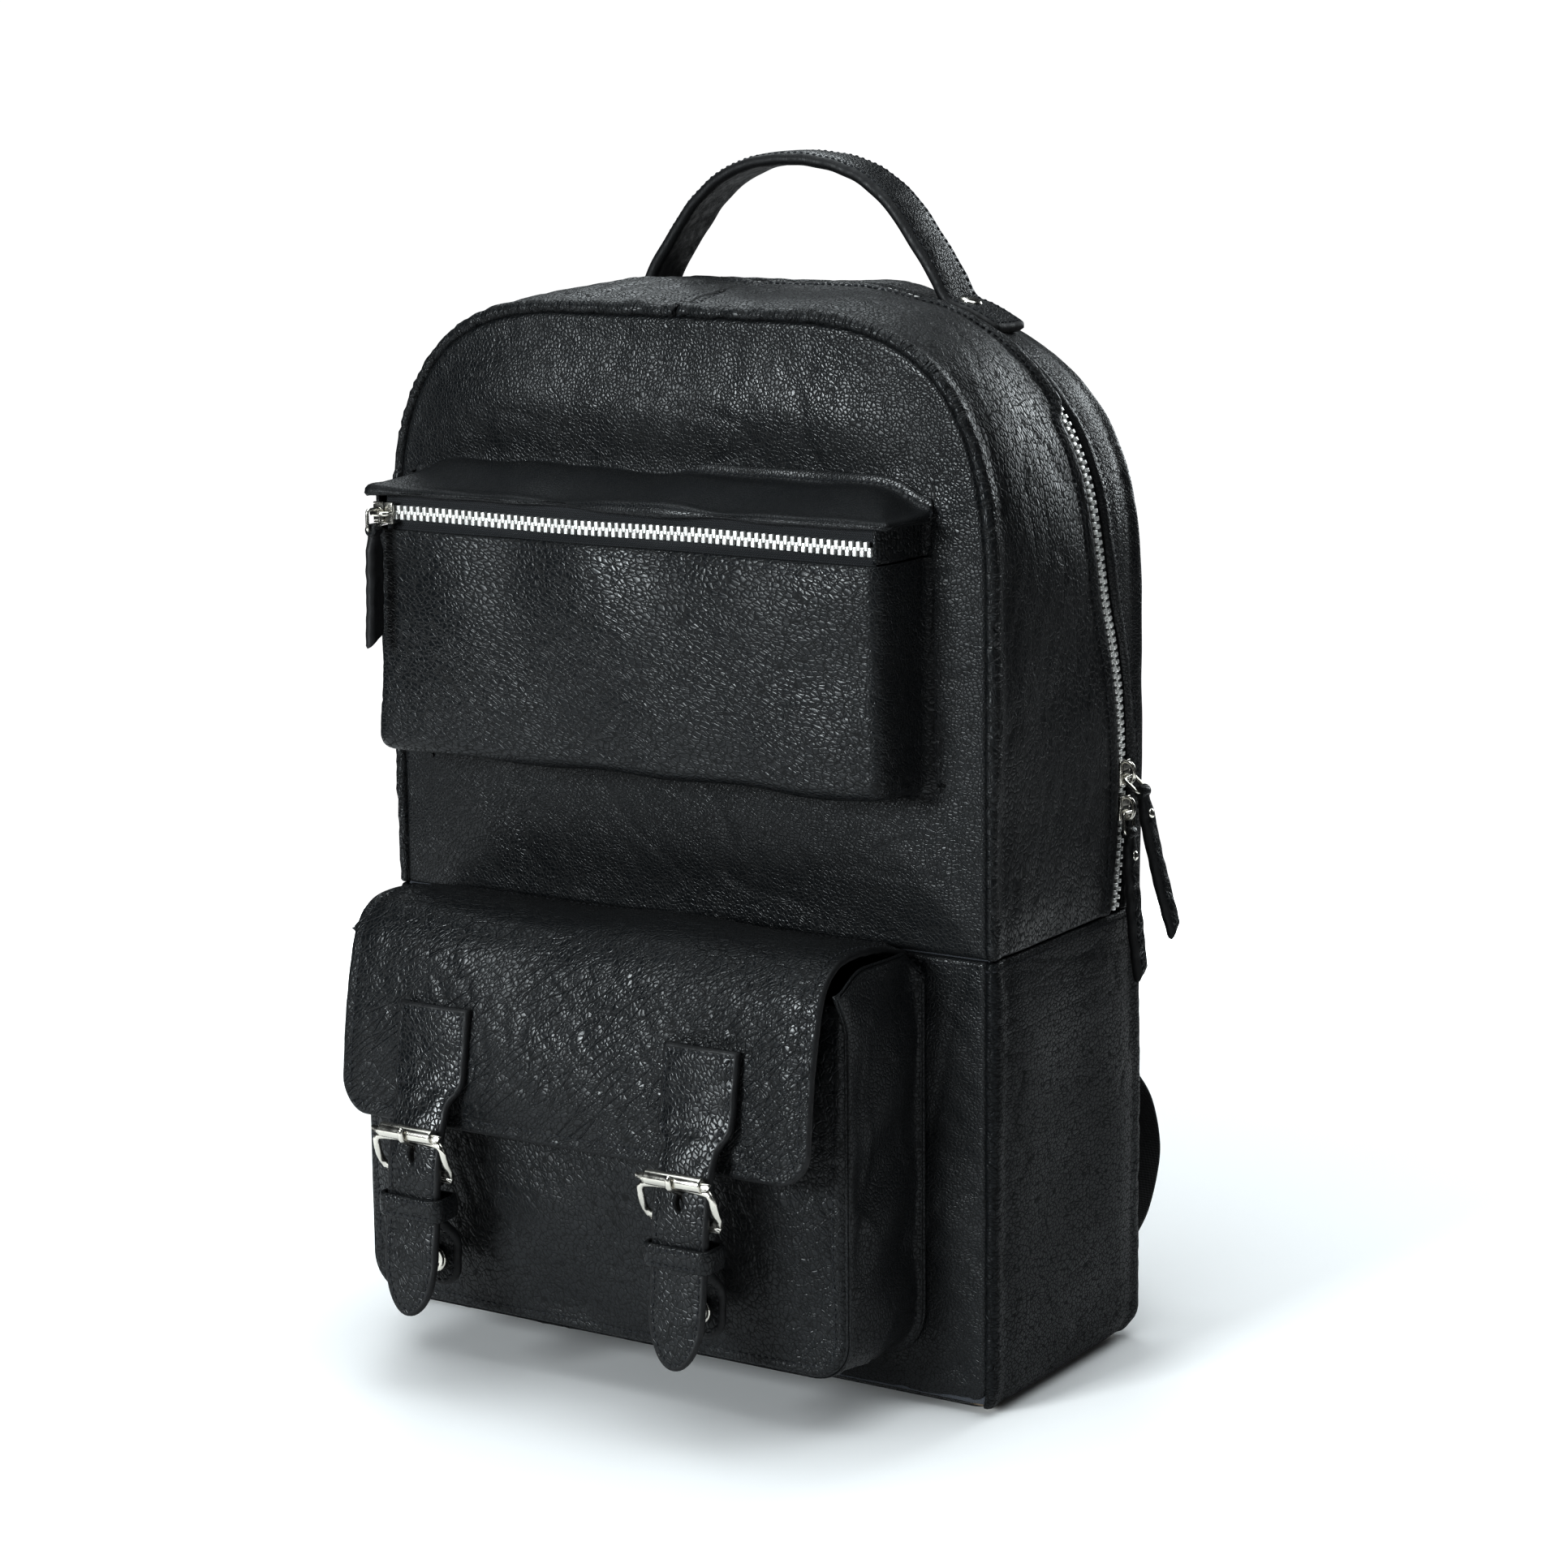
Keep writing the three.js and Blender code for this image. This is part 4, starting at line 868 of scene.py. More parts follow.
def cloth(name, color, yarn=0.7 * MM, depth=0.1 * MM):
    """Plain woven cloth on solids without a flat pattern."""
    g = Graph(name)
    plain = g.coordinates()
    parts = g.node("ShaderNodeSeparateXYZ", {"Vector": plain})
    total = 0.0
    for output in parts.outputs:
        wave = g.math("SINE", g.math("MULTIPLY", output, 2 * math.pi / yarn))
        total = g.math("ADD", total, g.math("MULTIPLY", wave, 0.3))
    fuzz = g.noise(plain, 0.5 * MM, 3.0)
    height = g.math("ADD", total, fuzz)
    g.bump(height, depth)
    # Painted shade and highlight: the colour is darker where the weave is low and lighter where it is raised.
    g.color(g.ramp(height, -0.2, 1.4), color, 0.55, 1.4)
    g.roughness(fuzz, 0.2, 0.8, 0.8, 0.97)
    return g.material


def moulded(name, color):
    """Moulded plastic with a fine spark-eroded texture."""
    g = Graph(name)
    fine = g.noise(g.coordinates(), 0.3 * MM, 3.0)
    large = g.noise(g.coordinates(), 8 * MM, 2.0)
    g.color(large, color, 0.7, 1.4)
    g.roughness(large, 0.2, 0.8, 0.34, 0.52)
    g.bump(fine, 0.03 * MM)
    return g.material


def pressed_board(name, color):
    g = Graph(name)
    fibres = g.noise(g.coordinates(stretch=(5, 1, 1)), 1.2 * MM, 5.0, 0.6)
    g.color(fibres, color, 0.55, 1.3)
    g.roughness(fibres, 0.2, 0.8, 0.75, 0.95)
    g.bump(fibres, 0.15 * MM)
    return g.material


SMOOTH_LEATHER = leather("front_leather", 1.6 * MM, 0.14 * MM, (0.26, 0.40), veins=0.3, vein_size=9 * MM)
SIDE_LEATHER = leather(
    "side_leather", 1.8 * MM, 0.17 * MM, (0.32, 0.46), (1, 1, 1.6), 12,
    veins=0.8, vein_size=12 * MM, vein_stretch=(1, 1, 5.0), vein_slant=14, pucker_at=PUCKERS,
)
BACK_LEATHER = leather("back_leather", 1.8 * MM, 0.15 * MM, (0.32, 0.46), veins=0.4, vein_size=10 * MM)
LOWER_LEATHER = leather(
    "lower_side_leather", 1.7 * MM, 0.15 * MM, (0.38, 0.52), (1.5, 1.5, 1),
    veins=0.9, vein_size=11 * MM, vein_stretch=(8, 8, 1), vein_slant=-6, shine=0.28, pucker_at=PUCKERS,
)
POCKET_LEATHER = leather(
    "pocket_leather", 1.7 * MM, 0.18 * MM, (0.28, 0.42), (1.8, 1, 1), -14,
    veins=0.5, vein_size=4.5 * MM, vein_stretch=(2.6, 1, 1), vein_slant=-20,
    crackle=0.7, crackle_at=(0.08, 0.105),
)
HOOD_LEATHER = leather("hood_leather", 1.3 * MM, 0.08 * MM, (0.30, 0.42))
LOWER_POCKET_LEATHER = leather(
    "lower_pocket_leather", 1.8 * MM, 0.18 * MM, (0.30, 0.44), (1, 1, 1.4), 30,
    veins=0.9, vein_size=8 * MM, vein_stretch=(1, 1, 3.0), vein_slant=24,
    crackle=0.9, crackle_at=(0.06, 0.1),
)
FLAP_LEATHER = leather(
    "flap_leather", 1.7 * MM, 0.15 * MM, (0.28, 0.40), (1.5, 1, 1), 42,
    veins=1.8, vein_size=4.4 * MM, vein_stretch=(5.5, 1, 1), vein_slant=42,
    crackle=1.2, crackle_at=(0.02, 0.06),
)
STRAP_LEATHER = leather("strap_leather", 1.9 * MM, 0.15 * MM, (0.24, 0.36), (1, 1, 1.35), 18)
PAD_LEATHER = leather("pad_leather", 1.8 * MM, 0.14 * MM, (0.32, 0.46), veins=0.4, vein_size=9 * MM)
HANDLE_LEATHER = leather("handle_leather", 1.5 * MM, 0.13 * MM, (0.26, 0.40), veins=0.2, vein_size=8 * MM)
EDGE = cut_edge("painted_edge", (0.006, 0.0065, 0.0075))
THREAD = cloth("thread", (0.026, 0.028, 0.032), yarn=0.5 * MM, depth=0.06 * MM)
NICKEL = metal("nickel", (0.70, 0.68, 0.63), gloss=(0.16, 0.3))
# The teeth are only partly metallic: their white diffuse part is painted sheen that stands in for the
# reflection of a bright softbox.
TEETH = metal("zipper_teeth", (0.92, 0.92, 0.90), gloss=(0.3, 0.42), metal_share=0.6)
TAPE = woven("zipper_tape", (0.020, 0.022, 0.025), 1.1 * MM, 0.16 * MM, chevron=True)
WEBBING = woven("webbing", (0.007, 0.007, 0.008), 1.5 * MM, 0.25 * MM)
PLASTIC = moulded("adjuster_plastic", (0.010, 0.010, 0.011))
LINING = cloth("lining_cloth", (0.06, 0.065, 0.075))
PADDING = cloth("padding", (0.05, 0.052, 0.058), yarn=1.4 * MM, depth=0.2 * MM)
BOARD = pressed_board("stiffener_board", (0.20, 0.16, 0.12))


# ---- Camera, lights and floor -----------------------------------------------------------


def camera():
    data = bpy.data.cameras.new("camera")
    data.lens, data.sensor_width = 91.7, 36
    yaw, pitch, roll = (math.radians(a) for a in (32.46, 11.23, -0.55))
    forward = Vector((-math.sin(yaw) * math.cos(pitch), math.cos(yaw) * math.cos(pitch), -math.sin(pitch)))
    right = Vector((math.cos(yaw), math.sin(yaw), 0))
    up = right.cross(forward)
    x = right * math.cos(roll) + up * math.sin(roll)
    y = up * math.cos(roll) - right * math.sin(roll)
    turn = Matrix((x, y, -forward)).transposed().to_4x4()
    eye = bpy.data.objects.new("camera", data)
    eye.matrix_world = Matrix.Translation((0.8951, -1.3913, 0.564)) @ turn
    bpy.context.scene.collection.objects.link(eye)
    bpy.context.scene.camera = eye


def softbox(name, place, aim, size, watts):
    data = bpy.data.lights.new(name, "AREA")
    data.shape, data.size, data.size_y = "RECTANGLE", size[0], size[1]
    data.energy, data.color = watts, COOL_LIGHT
    light = bpy.data.objects.new(name, data)
    light.location = place
    light.rotation_euler = (Vector(aim) - Vector(place)).to_track_quat("-Z", "Y").to_euler()
    bpy.context.scene.collection.objects.link(light)


def studio():
    softbox("key", (-0.58, -2.4, 0.9), (0, 0, 0.28), (0.75, 0.75), 74)
    softbox("top", (0.1, -0.1, 2.2), (0, 0, 0), (2.6, 2.6), 58)
    softbox("right_strip", (2.2, -1.0, 0.9), (0.1, 0, 0.25), (0.3, 1.2), 2)
    softbox("top_back", (-1.0, 1.3, 1.75), (0, 0, 0.3), (1.0, 1.0), 13)
    softbox("back_fill", (0.35, 2.6, 0.9), (0, 0, 0.3), (1.2, 1.2), 30)
    world = bpy.data.worlds.new("studio")
    world.use_nodes = True
    world.node_tree.nodes["Background"].inputs["Color"].default_value = (0.9, 0.95, 1, 1)
    world.node_tree.nodes["Background"].inputs["Strength"].default_value = 0.03
    bpy.context.scene.world = world
    bpy.context.scene.view_settings.view_transform = "Standard"
    bpy.context.scene.view_settings.gamma = 0.75
    round_object("floor", 0.85, True)
    round_object("backdrop", 14.0, False)


def pale(name, color, near, far):
    """A plain material that begins to glow between two distances from the middle of the floor."""
    g = Graph(name)
    away = g.vector("LENGTH", {0: g.coordinates()}, "Value")
    g.shader.inputs["Base Color"].default_value = tint(color, 1)
    g.shader.inputs["Roughness"].default_value = 0.9
    g.shader.inputs["Specular IOR Level"].default_value = 0.1
    g.shader.inputs["Emission Color"].default_value = (1, 1, 1, 1)
    g.link(g.ramp(away, near, far), g.shader.inputs["Emission Strength"])
    return g.material


def round_object(name, radius, is_floor):
    """The floor is a disc that takes light; the backdrop round it is a white globe only the camera sees."""
    mesh = bmesh.new()
    if is_floor:
        bmesh.ops.create_circle(mesh, cap_ends=True, segments=96, radius=radius)
    else:
        bmesh.ops.create_uvsphere(mesh, u_segments=48, v_segments=24, radius=radius)
    data = bpy.data.meshes.new(name)
    mesh.to_mesh(data)
    mesh.free()
    data.materials.append(pale(name, (0.93,) * 3, 0.42, 0.8))
    thing = bpy.data.objects.new(name, data)
    bpy.context.scene.collection.objects.link(thing)
    for seen in ("visible_diffuse", "visible_glossy", "visible_transmission", "visible_shadow"):
        setattr(thing, seen, is_floor)
    return thing


# ---- The bag's body ---------------------------------------------------------------------


def channel(d, at, depth=0.35 * MM):
    """The groove that a row of stitches pulls into the leather."""
    return depth * bump_at(d, at, 1.1 * MM)


def front_place(y, facing):
    def place(p):
        base = np.stack([p[:, 0], np.full(len(p), y), p[:, 1]], 1)
        return tucked(base), np.tile(np.array([0.0, facing, 0.0]), (len(p), 1))

    return place


def inset_outline(y, z_low):
    """The flat panel's pattern, moved in to the bottom of the seam's groove."""
    start = z_low - SEAM_Z
    u = np.linspace(start, 2 * HALF_LENGTH - start, int(2 * (HALF_LENGTH - start) / (2.2 * MM)))
    points, normal = body_surface(u, np.full(len(u), y))
    edge = (points - normal * SEAM_INSET)[:, [0, 2]]
    x = np.arange(-edge[0, 0], edge[0, 0], 2.2 * MM)[1:]
    return np.vstack([np.stack([x, np.full(len(x), z_low)], 1), edge])


def front_panels():
    place = front_place(FRONT_Y, -1.0)

    def upper_relief(p, base, d):
        fill = lerp(2.2, 5.6, ease((p[:, 1] - 0.376) / (30 * MM))) * MM * ease(d / (52 * MM))
        sag = 1.1 * MM * waves(base, 120 * MM, 3) * ease(d / (30 * MM))
        dimples = 0.06 * MM * waves(base, 15 * MM, 31)
        folds = 0.45 * MM * creases(base, 55 * MM, 5, 0.1, (1.8, 1, 1)) * ease(d / (20 * MM))
        return fill + sag + dimples - folds

    def lower_relief(p, base, d):
        fill = 2.0 * MM * ease(d / (50 * MM))
        sag = 0.9 * MM * waves(base, 80 * MM, 4) * ease(d / (20 * MM))
        folds = 0.7 * MM * creases(turned(base, 60), 45 * MM, 12, 0.12, (2.2, 1, 1)) * ease(d / (9 * MM))
        top_stitch = channel(SEAM_Z - p[:, 1], 3.2 * MM)
        dents = 0.12 * MM * waves(base, 12 * MM, 33)
        return fill + sag + dents - folds - top_stitch

    pattern = inset_outline(FRONT_Y, SEAM_Z + 0.2 * MM)
    upper = Sheet(pattern, place, upper_relief, roll=2.6 * MM, spacing=2.4 * MM)
    upper.build("front_upper", SMOOTH_LEATHER, ["front_panel_upper"])
    half = HALF_WIDTH - SEAM_INSET
    pattern = rounded_rectangle(-half, half, FLOOR_GAP, SEAM_Z - 0.2 * MM, (10 * MM, 10 * MM, 0, 0))
    lower = Sheet(pattern, place, lower_relief, roll=2.6 * MM, spacing=2.4 * MM)
    lower.build("front_lower", SMOOTH_LEATHER, ["front_panel_lower"])
    stitch_z = SEAM_Z - 3.4 * MM
    row = straight(-half + 4 * MM, stitch_z, half - 4 * MM, stitch_z, 160)
    stitching("front_seam_stitches", [lower.at(row)], "root")


def side_relief(seed, seam_u=None, stretch=(1, 1, 2.4), slant=14, folds=0.5 * MM):
    """Folds and puckers of the side leather; seam_u is where two pieces meet over the top."""

    def relief(p, base, d):
        u, v = p[:, 0], p[:, 1]
        ridge = bump_at(v, FRONT_WRAP + 6.5 * MM, 4.5 * MM)
        along = np.stack([u, v * 0.5, u * 0], 1)
        pinches = 0.34 * MM * waves(along, 4.6 * MM, seed + 7) * ridge
        pinches = pinches * (0.7 + 0.3 * waves(along, 60 * MM, seed, 3))
        sag = 0.8 * MM * waves(base, 95 * MM, seed) * ease(d / (20 * MM))
        lines = creases(turned(base, slant), 34 * MM, seed + 20, 0.10, stretch) * ease(d / (7 * MM))
        fine = 0.08 * MM * waves(turned(base, slant), 7 * MM, seed + 3, stretch=stretch)
        total = sag + pinches + fine - folds * lines
        if seam_u is not None:
            total -= channel(np.abs(u - seam_u), 4.0 * MM, 0.5 * MM)
            gathers = waves(base, 9 * MM, seed + 9, stretch=(1, 2.2, 1)) * bump_at(u, seam_u, 50 * MM)
            total += 0.3 * MM * gathers
        return total + 1.2 * MM * ease(d / (40 * MM))

    return relief


def closed_over(u):
    """Where the gusset rolls right over the chain, 0 to 1: at the right end of the top."""
    x, z = half_outline(np.minimum(u, HALF_LENGTH), ZIP_BEND_Y)
    return np.where(u < HALF_LENGTH, ease((z - 0.392) / 0.010) * ease((x - 0.068) / 0.012), 0.0)


def before_zip(u):
    return zipper_y(u) - lerp(LEATHER_FROM_ZIP, -2.2 * MM, closed_over(u))


def after_zip(u):
    return zipper_y(u) + lerp(LEATHER_FROM_ZIP, 3.4 * MM, closed_over(u))


def zipper_edge_lift(v_edge, side):
    """Raises the leather beside the zipper into a turned edge."""

    def lift(p):
        away = (v_edge(p[:, 0]) - p[:, 1]) * side
        height = 1.1 * MM + 1.5 * MM * closed_over(p[:, 0]) * (side > 0)
        return height * bump_at(away, 3.2 * MM, 3.6 * MM) - 0.5 * MM * bump_at(away, 7.5 * MM, 1.1 * MM)

    return lift


def band_outline(u0, u1, low, high, spacing=2.4 * MM):
    """A band's flat pattern between two depths that change along u."""
    u = np.linspace(u0, u1, int((u1 - u0) / spacing))
    first = np.stack([u, low(u)], 1)
    last = np.stack([u, high(u)], 1)[::-1]
    return dense_loop(np.vstack([first, last]), spacing)


def fixed(value):
    return lambda u: np.full(len(u), value)


def gussets():
    """The bands beside the main zipper: two gussets that meet over the top, and the strip behind it."""
    gap = SEAM_GAP
    front_lift, back_lift = zipper_edge_lift(before_zip, 1), zipper_edge_lift(after_zip, -1)
    front = fixed(FRONT_WRAP)
    bands = (
        ("gusset_right", gap, HALF_LENGTH - gap, front, before_zip, "gusset_front_right"),
        ("gusset_left", HALF_LENGTH + gap, 2 * HALF_LENGTH - gap, front, before_zip, "gusset_front_left"),
        ("back_strip", gap, 2 * HALF_LENGTH - gap, after_zip, fixed(BACK_WRAP), "gusset_back_strip"),
    )
    rows = []
    for number, (name, u0, u1, low, high, node) in enumerate(bands):
        behind = name == "back_strip"
        if behind:
            plain, lift = side_relief(40 + 10 * number, folds=0.3 * MM), back_lift
        else:
            plain, lift = side_relief(40 + 10 * number, HALF_LENGTH), front_lift

        def relief(p, base, d, plain=plain, lift=lift):
            return plain(p, base, d) + lift(p)

        pattern = band_outline(u0, u1, low, high)
        sheet = Sheet(pattern, place_on_side, relief, roll=1.7 * MM, spacing=2.4 * MM)
        leather_used = BACK_LEATHER if behind else SIDE_LEATHER
        sheet.build(name, leather_used, [node])
        u = np.linspace(u0 + 3 * MM, u1 - 3 * MM, int((u1 - u0) / (2 * MM)))
        v = low(u) + ZIP_STITCH if behind else high(u) - ZIP_STITCH
        rows.append(sheet.at(np.stack([u, v], 1)))
        if not behind:
            seam_u = HALF_LENGTH + (-1 if name == "gusset_right" else 1) * 4.2 * MM
            last = before_zip(np.array([HALF_LENGTH]))[0] - 8 * MM
            rows.append(sheet.at(straight(seam_u, FRONT_Y + 4 * MM, seam_u, last, 40)))
    return rows


def lower_sides():
    low_u, end_u = -(SEAM_Z - FLOOR_GAP), 2 * HALF_LENGTH
    rows = []
    for name, start, end, seam_u, seed in (
        ("right", low_u, -SEAM_GAP, -3.6 * MM, 80),
        ("left", end_u + SEAM_GAP, end_u - low_u, end_u + 3.6 * MM, 95),
    ):
        relief = side_relief(seed, None, (3.4, 3.4, 1), -5, 0.6 * MM)
        pattern = band_outline(start, end, fixed(FRONT_WRAP), fixed(BACK_WRAP))
        sheet = Sheet(pattern, place_on_side, relief, roll=1.9 * MM, spacing=2.4 * MM)
        node = f"side_panel_lower_{name}"
        sheet.build(f"side_lower_{name}", LOWER_LEATHER, [node])
        rows.append(sheet.at(straight(seam_u, FRONT_WRAP + 4 * MM, seam_u, BACK_WRAP - 4 * MM, 90)))
    return rows


def body_sides():
    rows = gussets()
    rows += lower_sides()
    stitching("side_stitches", rows, "root")


def base_and_back():
    inset = 6.5 * MM

    def base_place(p):
        base = np.stack([p[:, 0], p[:, 1], np.full(len(p), 0.1 * MM)], 1)
        return base, np.tile(np.array([0.0, 0.0, -1.0]), (len(p), 1))

    low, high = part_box("base_panel")
    pattern = rounded_rectangle(low.x + inset, high.x - inset, low.y + inset, high.y - inset, (8 * MM,) * 4)

    def base_relief(p, base, d):
        return -channel(d, 7 * MM)

    bottom = Sheet(pattern, base_place, base_relief, roll=2.2 * MM, spacing=4 * MM)
    bottom.build("bottom", BACK_LEATHER, ["base_panel"])
    stitching("bottom_stitches", seam_at(bottom, pattern, 7 * MM), "root")

    channels = (-48 * MM, 48 * MM)

    def back_relief(p, base, d):
        fill = 3.4 * MM * ease(d / (26 * MM))
        quilt = sum(2.2 * MM * bump_at(p[:, 0], x, 4.5 * MM) for x in channels)
        quilt = quilt * ease((d - 12 * MM) / (10 * MM))
        yoke = 1.6 * MM * bump_at(p[:, 1], YOKE_Z, 4 * MM) * ease(d / (14 * MM))
        sag = 0.7 * MM * waves(base, 80 * MM, 61)
        folds = 0.4 * MM * creases(base, 50 * MM, 63, 0.1) * ease(d / (20 * MM))
        return fill - quilt - yoke + (sag - folds) * ease(d / (15 * MM)) - channel(d, 11 * MM)

    outline = inset_outline(BACK_Y, FLOOR_GAP)
    back = Sheet(outline, front_place(BACK_Y, 1.0), back_relief, roll=2.6 * MM, spacing=2.8 * MM)
    back.build("back", BACK_LEATHER, ["back_panel"])
    rows = seam_at(back, outline, 11 * MM)
    rows += [back.at(straight(x, 0.018, x, 0.380, 150)) for x in channels]
    rows.append(back.at(straight(-0.128, YOKE_Z, 0.128, YOKE_Z, 110)))
    stitching("back_stitches", rows, "root")


# ---- Zippers ----------------------------------------------------------------------------


def instanced(template, centres, forward, side, normal):
    """Copies of a template's verts and faces in frames given by arrays of axes."""
    base, faces = template
    base = np.array(base)
    verts = (
        centres[:, None, :]
        + base[None, :, 0:1] * forward[:, None, :]
        + base[None, :, 1:2] * side[:, None, :]
        + base[None, :, 2:3] * normal[:, None, :]
    )
    count = len(base)
    every = [tuple(i + k * count for i in face) for k in range(len(centres)) for face in faces]
    return verts.reshape(-1, 3), every


def tooth_template():
    """One tooth: a jaw round the cord on its tape and a narrower head at the middle of the chain."""
    jaw = shaped_block((1.7 * MM, 2.3 * MM, 2.6 * MM), 0.22 * MM, Matrix.Translation((0, -1.75 * MM, 0)))
    neck = shaped_block((1.35 * MM, 1.5 * MM, 2.1 * MM), 0.18 * MM, Matrix.Translation((0, -0.1 * MM, 0)))
    return joined([jaw, neck])


def teeth(name, path, normals, node):
    """Teeth along a path, by turns from one tape and from the other."""
    along = np.concatenate([[0], np.cumsum(np.linalg.norm(np.diff(path, axis=0), axis=1))])
    at = np.arange(TOOTH_PITCH / 2, along[-1] - TOOTH_PITCH / 2, TOOTH_PITCH / 2)
    centres, normal = on_path(path, along, at), unit(on_path(normals, along, at))
    forward = unit(on_path(path, along, at + 0.5 * MM) - on_path(path, along, at - 0.5 * MM))
    side = unit(np.cross(normal, forward)) * np.where(np.arange(len(at)) % 2, 1.0, -1.0)[:, None]
    row = instanced(tooth_template(), centres, forward, side, normal)
    plain_piece(name, row, TEETH, "root", "zipper_metal", node)


def tape_relief(p, base, d):
    """The main tapes lie under the leather, with a corded edge beside the teeth."""
    return 0.7 * MM * bump_at(p[:, 1], 2.2 * MM, 0.9 * MM) - 1.9 * MM


def main_zipper():
    u = np.linspace(0, 2 * HALF_LENGTH, 600)
    path, normals = place_on_side(np.stack([u, zipper_y(u)], 1))
    teeth("main_teeth", path - normals * 1.6 * MM, normals, "main_zipper_chain")
    for name, side in (("front", -1), ("back", 1)):

        def place(p, side=side):
            return place_on_side(np.stack([p[:, 0], zipper_y(p[:, 0]) + side * p[:, 1]], 1))

        end = 0.5 * MM
        pattern = band_outline(end, 2 * HALF_LENGTH - end, fixed(1.6 * MM), fixed(9.5 * MM), 2 * MM)
        tape = Sheet(pattern, place, tape_relief, thickness=0.8 * MM, spacing=2 * MM)
        tape.build(f"main_tape_{name}_weave", TAPE, [f"main_tape_{name}"])


def rounded_loop(width, height, corner, steps=5):
    """A rounded rectangle as (x, z) points round the origin, counterclockwise."""
    sides = (-width / 2, width / 2, -height / 2, height / 2)
    return rounded_rectangle(*sides, (corner,) * 4, corner * math.pi / 2 / steps)


def slider_parts(origin, x, y, z):
    """A zip slider: x away from the chain, z along it. A domed shield with a waist, and a bail over it."""
    turn = Matrix((x, y, z)).transposed().to_4x4()
    turn.translation = origin

    def block(size, bevel, centre, segments=2):
        matrix = turn @ Matrix.Translation([v * MM for v in centre])
        return shaped_block([v * MM for v in size], bevel * MM, matrix, segments)

    shield = block((1.5, 8.8, 5.2), 0.6, (1.05, 0, 2.6), 3)
    waist = block((1.5, 7.0, 6.6), 0.6, (1.05, 0, -1.6), 3)
    flanges = [block((2.2, 0.8, 10), 0.3, (0.4, s * 4.0, 0)) for s in (-1, 1)]
    arc = [(1.4, -4.6), (3.6, -4.3), (5.2, -2.6), (5.7, 0.2), (5.3, 2.8), (3.8, 4.4), (1.4, 4.8)]
    path = [np.array(turn @ Vector((a * MM, 0, b * MM))) for a, b in smooth_path(arc, 22)]
    return [shield, waist, *flanges, tube(path, 0.72 * MM, 10, False, y, 1.5)]


def link_parts(top, down, across, width, length):
    """A rectangular link of wire hanging from its top bar along down, its width along across."""
    middle = np.array(top) + np.array(down) * length / 2
    loop = rounded_loop(width, length, 1.4 * MM)
    path = [middle + np.array(across) * a + np.array(down) * b for a, b in loop]
    facing = np.cross(down, across)
    return tube(path, 0.75 * MM, 10, True, facing)


def leather_pull(bar, down, across, outward, length, width, body, curl):
    """A pull of folded leather: it wraps the link's bar, hangs down and ends in a slanted cut."""
    name = body + "_leather"
    neck, shoulder = 2.7 * MM, 8 * MM
    half = width / 2
    outline = [(-neck, -1.5 * MM), (neck, -1.5 * MM), (neck, 3.5 * MM), (half, shoulder)]
    outline += [(half, length - 5 * MM), (-half, length), (-half, shoulder), (-neck, 3.5 * MM)]
    outline = dense_loop(np.array(outline), 1 * MM)

    def place(p):
        a, b = p[:, 0], p[:, 1]
        bend = curl * (np.clip(b, 0, None) / length) ** 2 * length
        base = bar + across * a[:, None] + down * b[:, None] + outward * bend[:, None]
        slope = 2 * curl * np.clip(b, 0, None) / length
        normal = unit(outward - down * slope[:, None])
        return base + normal * 2.3 * MM, normal

    def relief(p, base, d):
        return 0.12 * MM * waves(base, 6 * MM, 9) - channel(d, 1.7 * MM, 0.18 * MM)

    sheet = Sheet(outline, place, relief, thickness=4.4 * MM, spacing=1.3 * MM)
    sheet.build(name, STRAP_LEATHER, [body], body=body, edge=EDGE)
    head = turned_profile(in_mm(both_ends([(1.4, 2.7), (2.5, 2.7), (2.75, 2.2)])), bar, across, 24)
    plain_piece(name + "_fold", head, STRAP_LEATHER, body, "trim_leather")
    rivet_place, rivet_normal = sheet.at(np.array([[0.0, 9.5 * MM]]))
    dome = [(2.1, -0.6), (2.1, 0.1), (1.8, 0.5), (1.0, 0.75), (0.1, 0.8)]
    metal_piece(name + "_rivet", turned_profile(in_mm(dome), rivet_place[0], rivet_normal[0], 24), body)


JOINTS = {joint["name"]: joint for joint in frame["joints"]}
PULL_TILT = {"upper": 10, "lower": 4}
PULL_CURL = {"upper": 0.07, "lower": 0.05}


def main_sliders():
    for which in ("upper", "lower"):
        swing = JOINTS[f"main_link_{which}_swing"]
        pivot = np.array(swing["pos_m"])
        bar = np.array(JOINTS[f"main_pull_{which}_swing"]["pos_m"])
        across = -unit(np.array(swing["axis"], float))
        up = np.array([0, -across[2], across[1]])
        out = np.array([1.0, 0, 0])
        origin = pivot - out * 3 * MM + up * 1.6 * MM
        slider = joined(slider_parts(Vector(origin), Vector(out), Vector(across), Vector(up)))
        body = f"main_slider_{which}"
        metal_piece(body + "_metal", slider, body, body)
        down = unit(bar - pivot)
        link = link_parts(pivot, down, across, 8.3 * MM, np.linalg.norm(bar - pivot))
        body = f"main_link_{which}"
        metal_piece(body + "_metal", link, body, body)
        tilt = math.radians(PULL_TILT[which])
        hang = out * math.sin(tilt) - up * math.cos(tilt)
        body = f"main_pull_{which}"
        outward = np.cross(across, hang)
        outward *= np.sign(outward[0])
        leather_pull(bar, hang, across, outward, 62 * MM, 9 * MM, body, PULL_CURL[which])


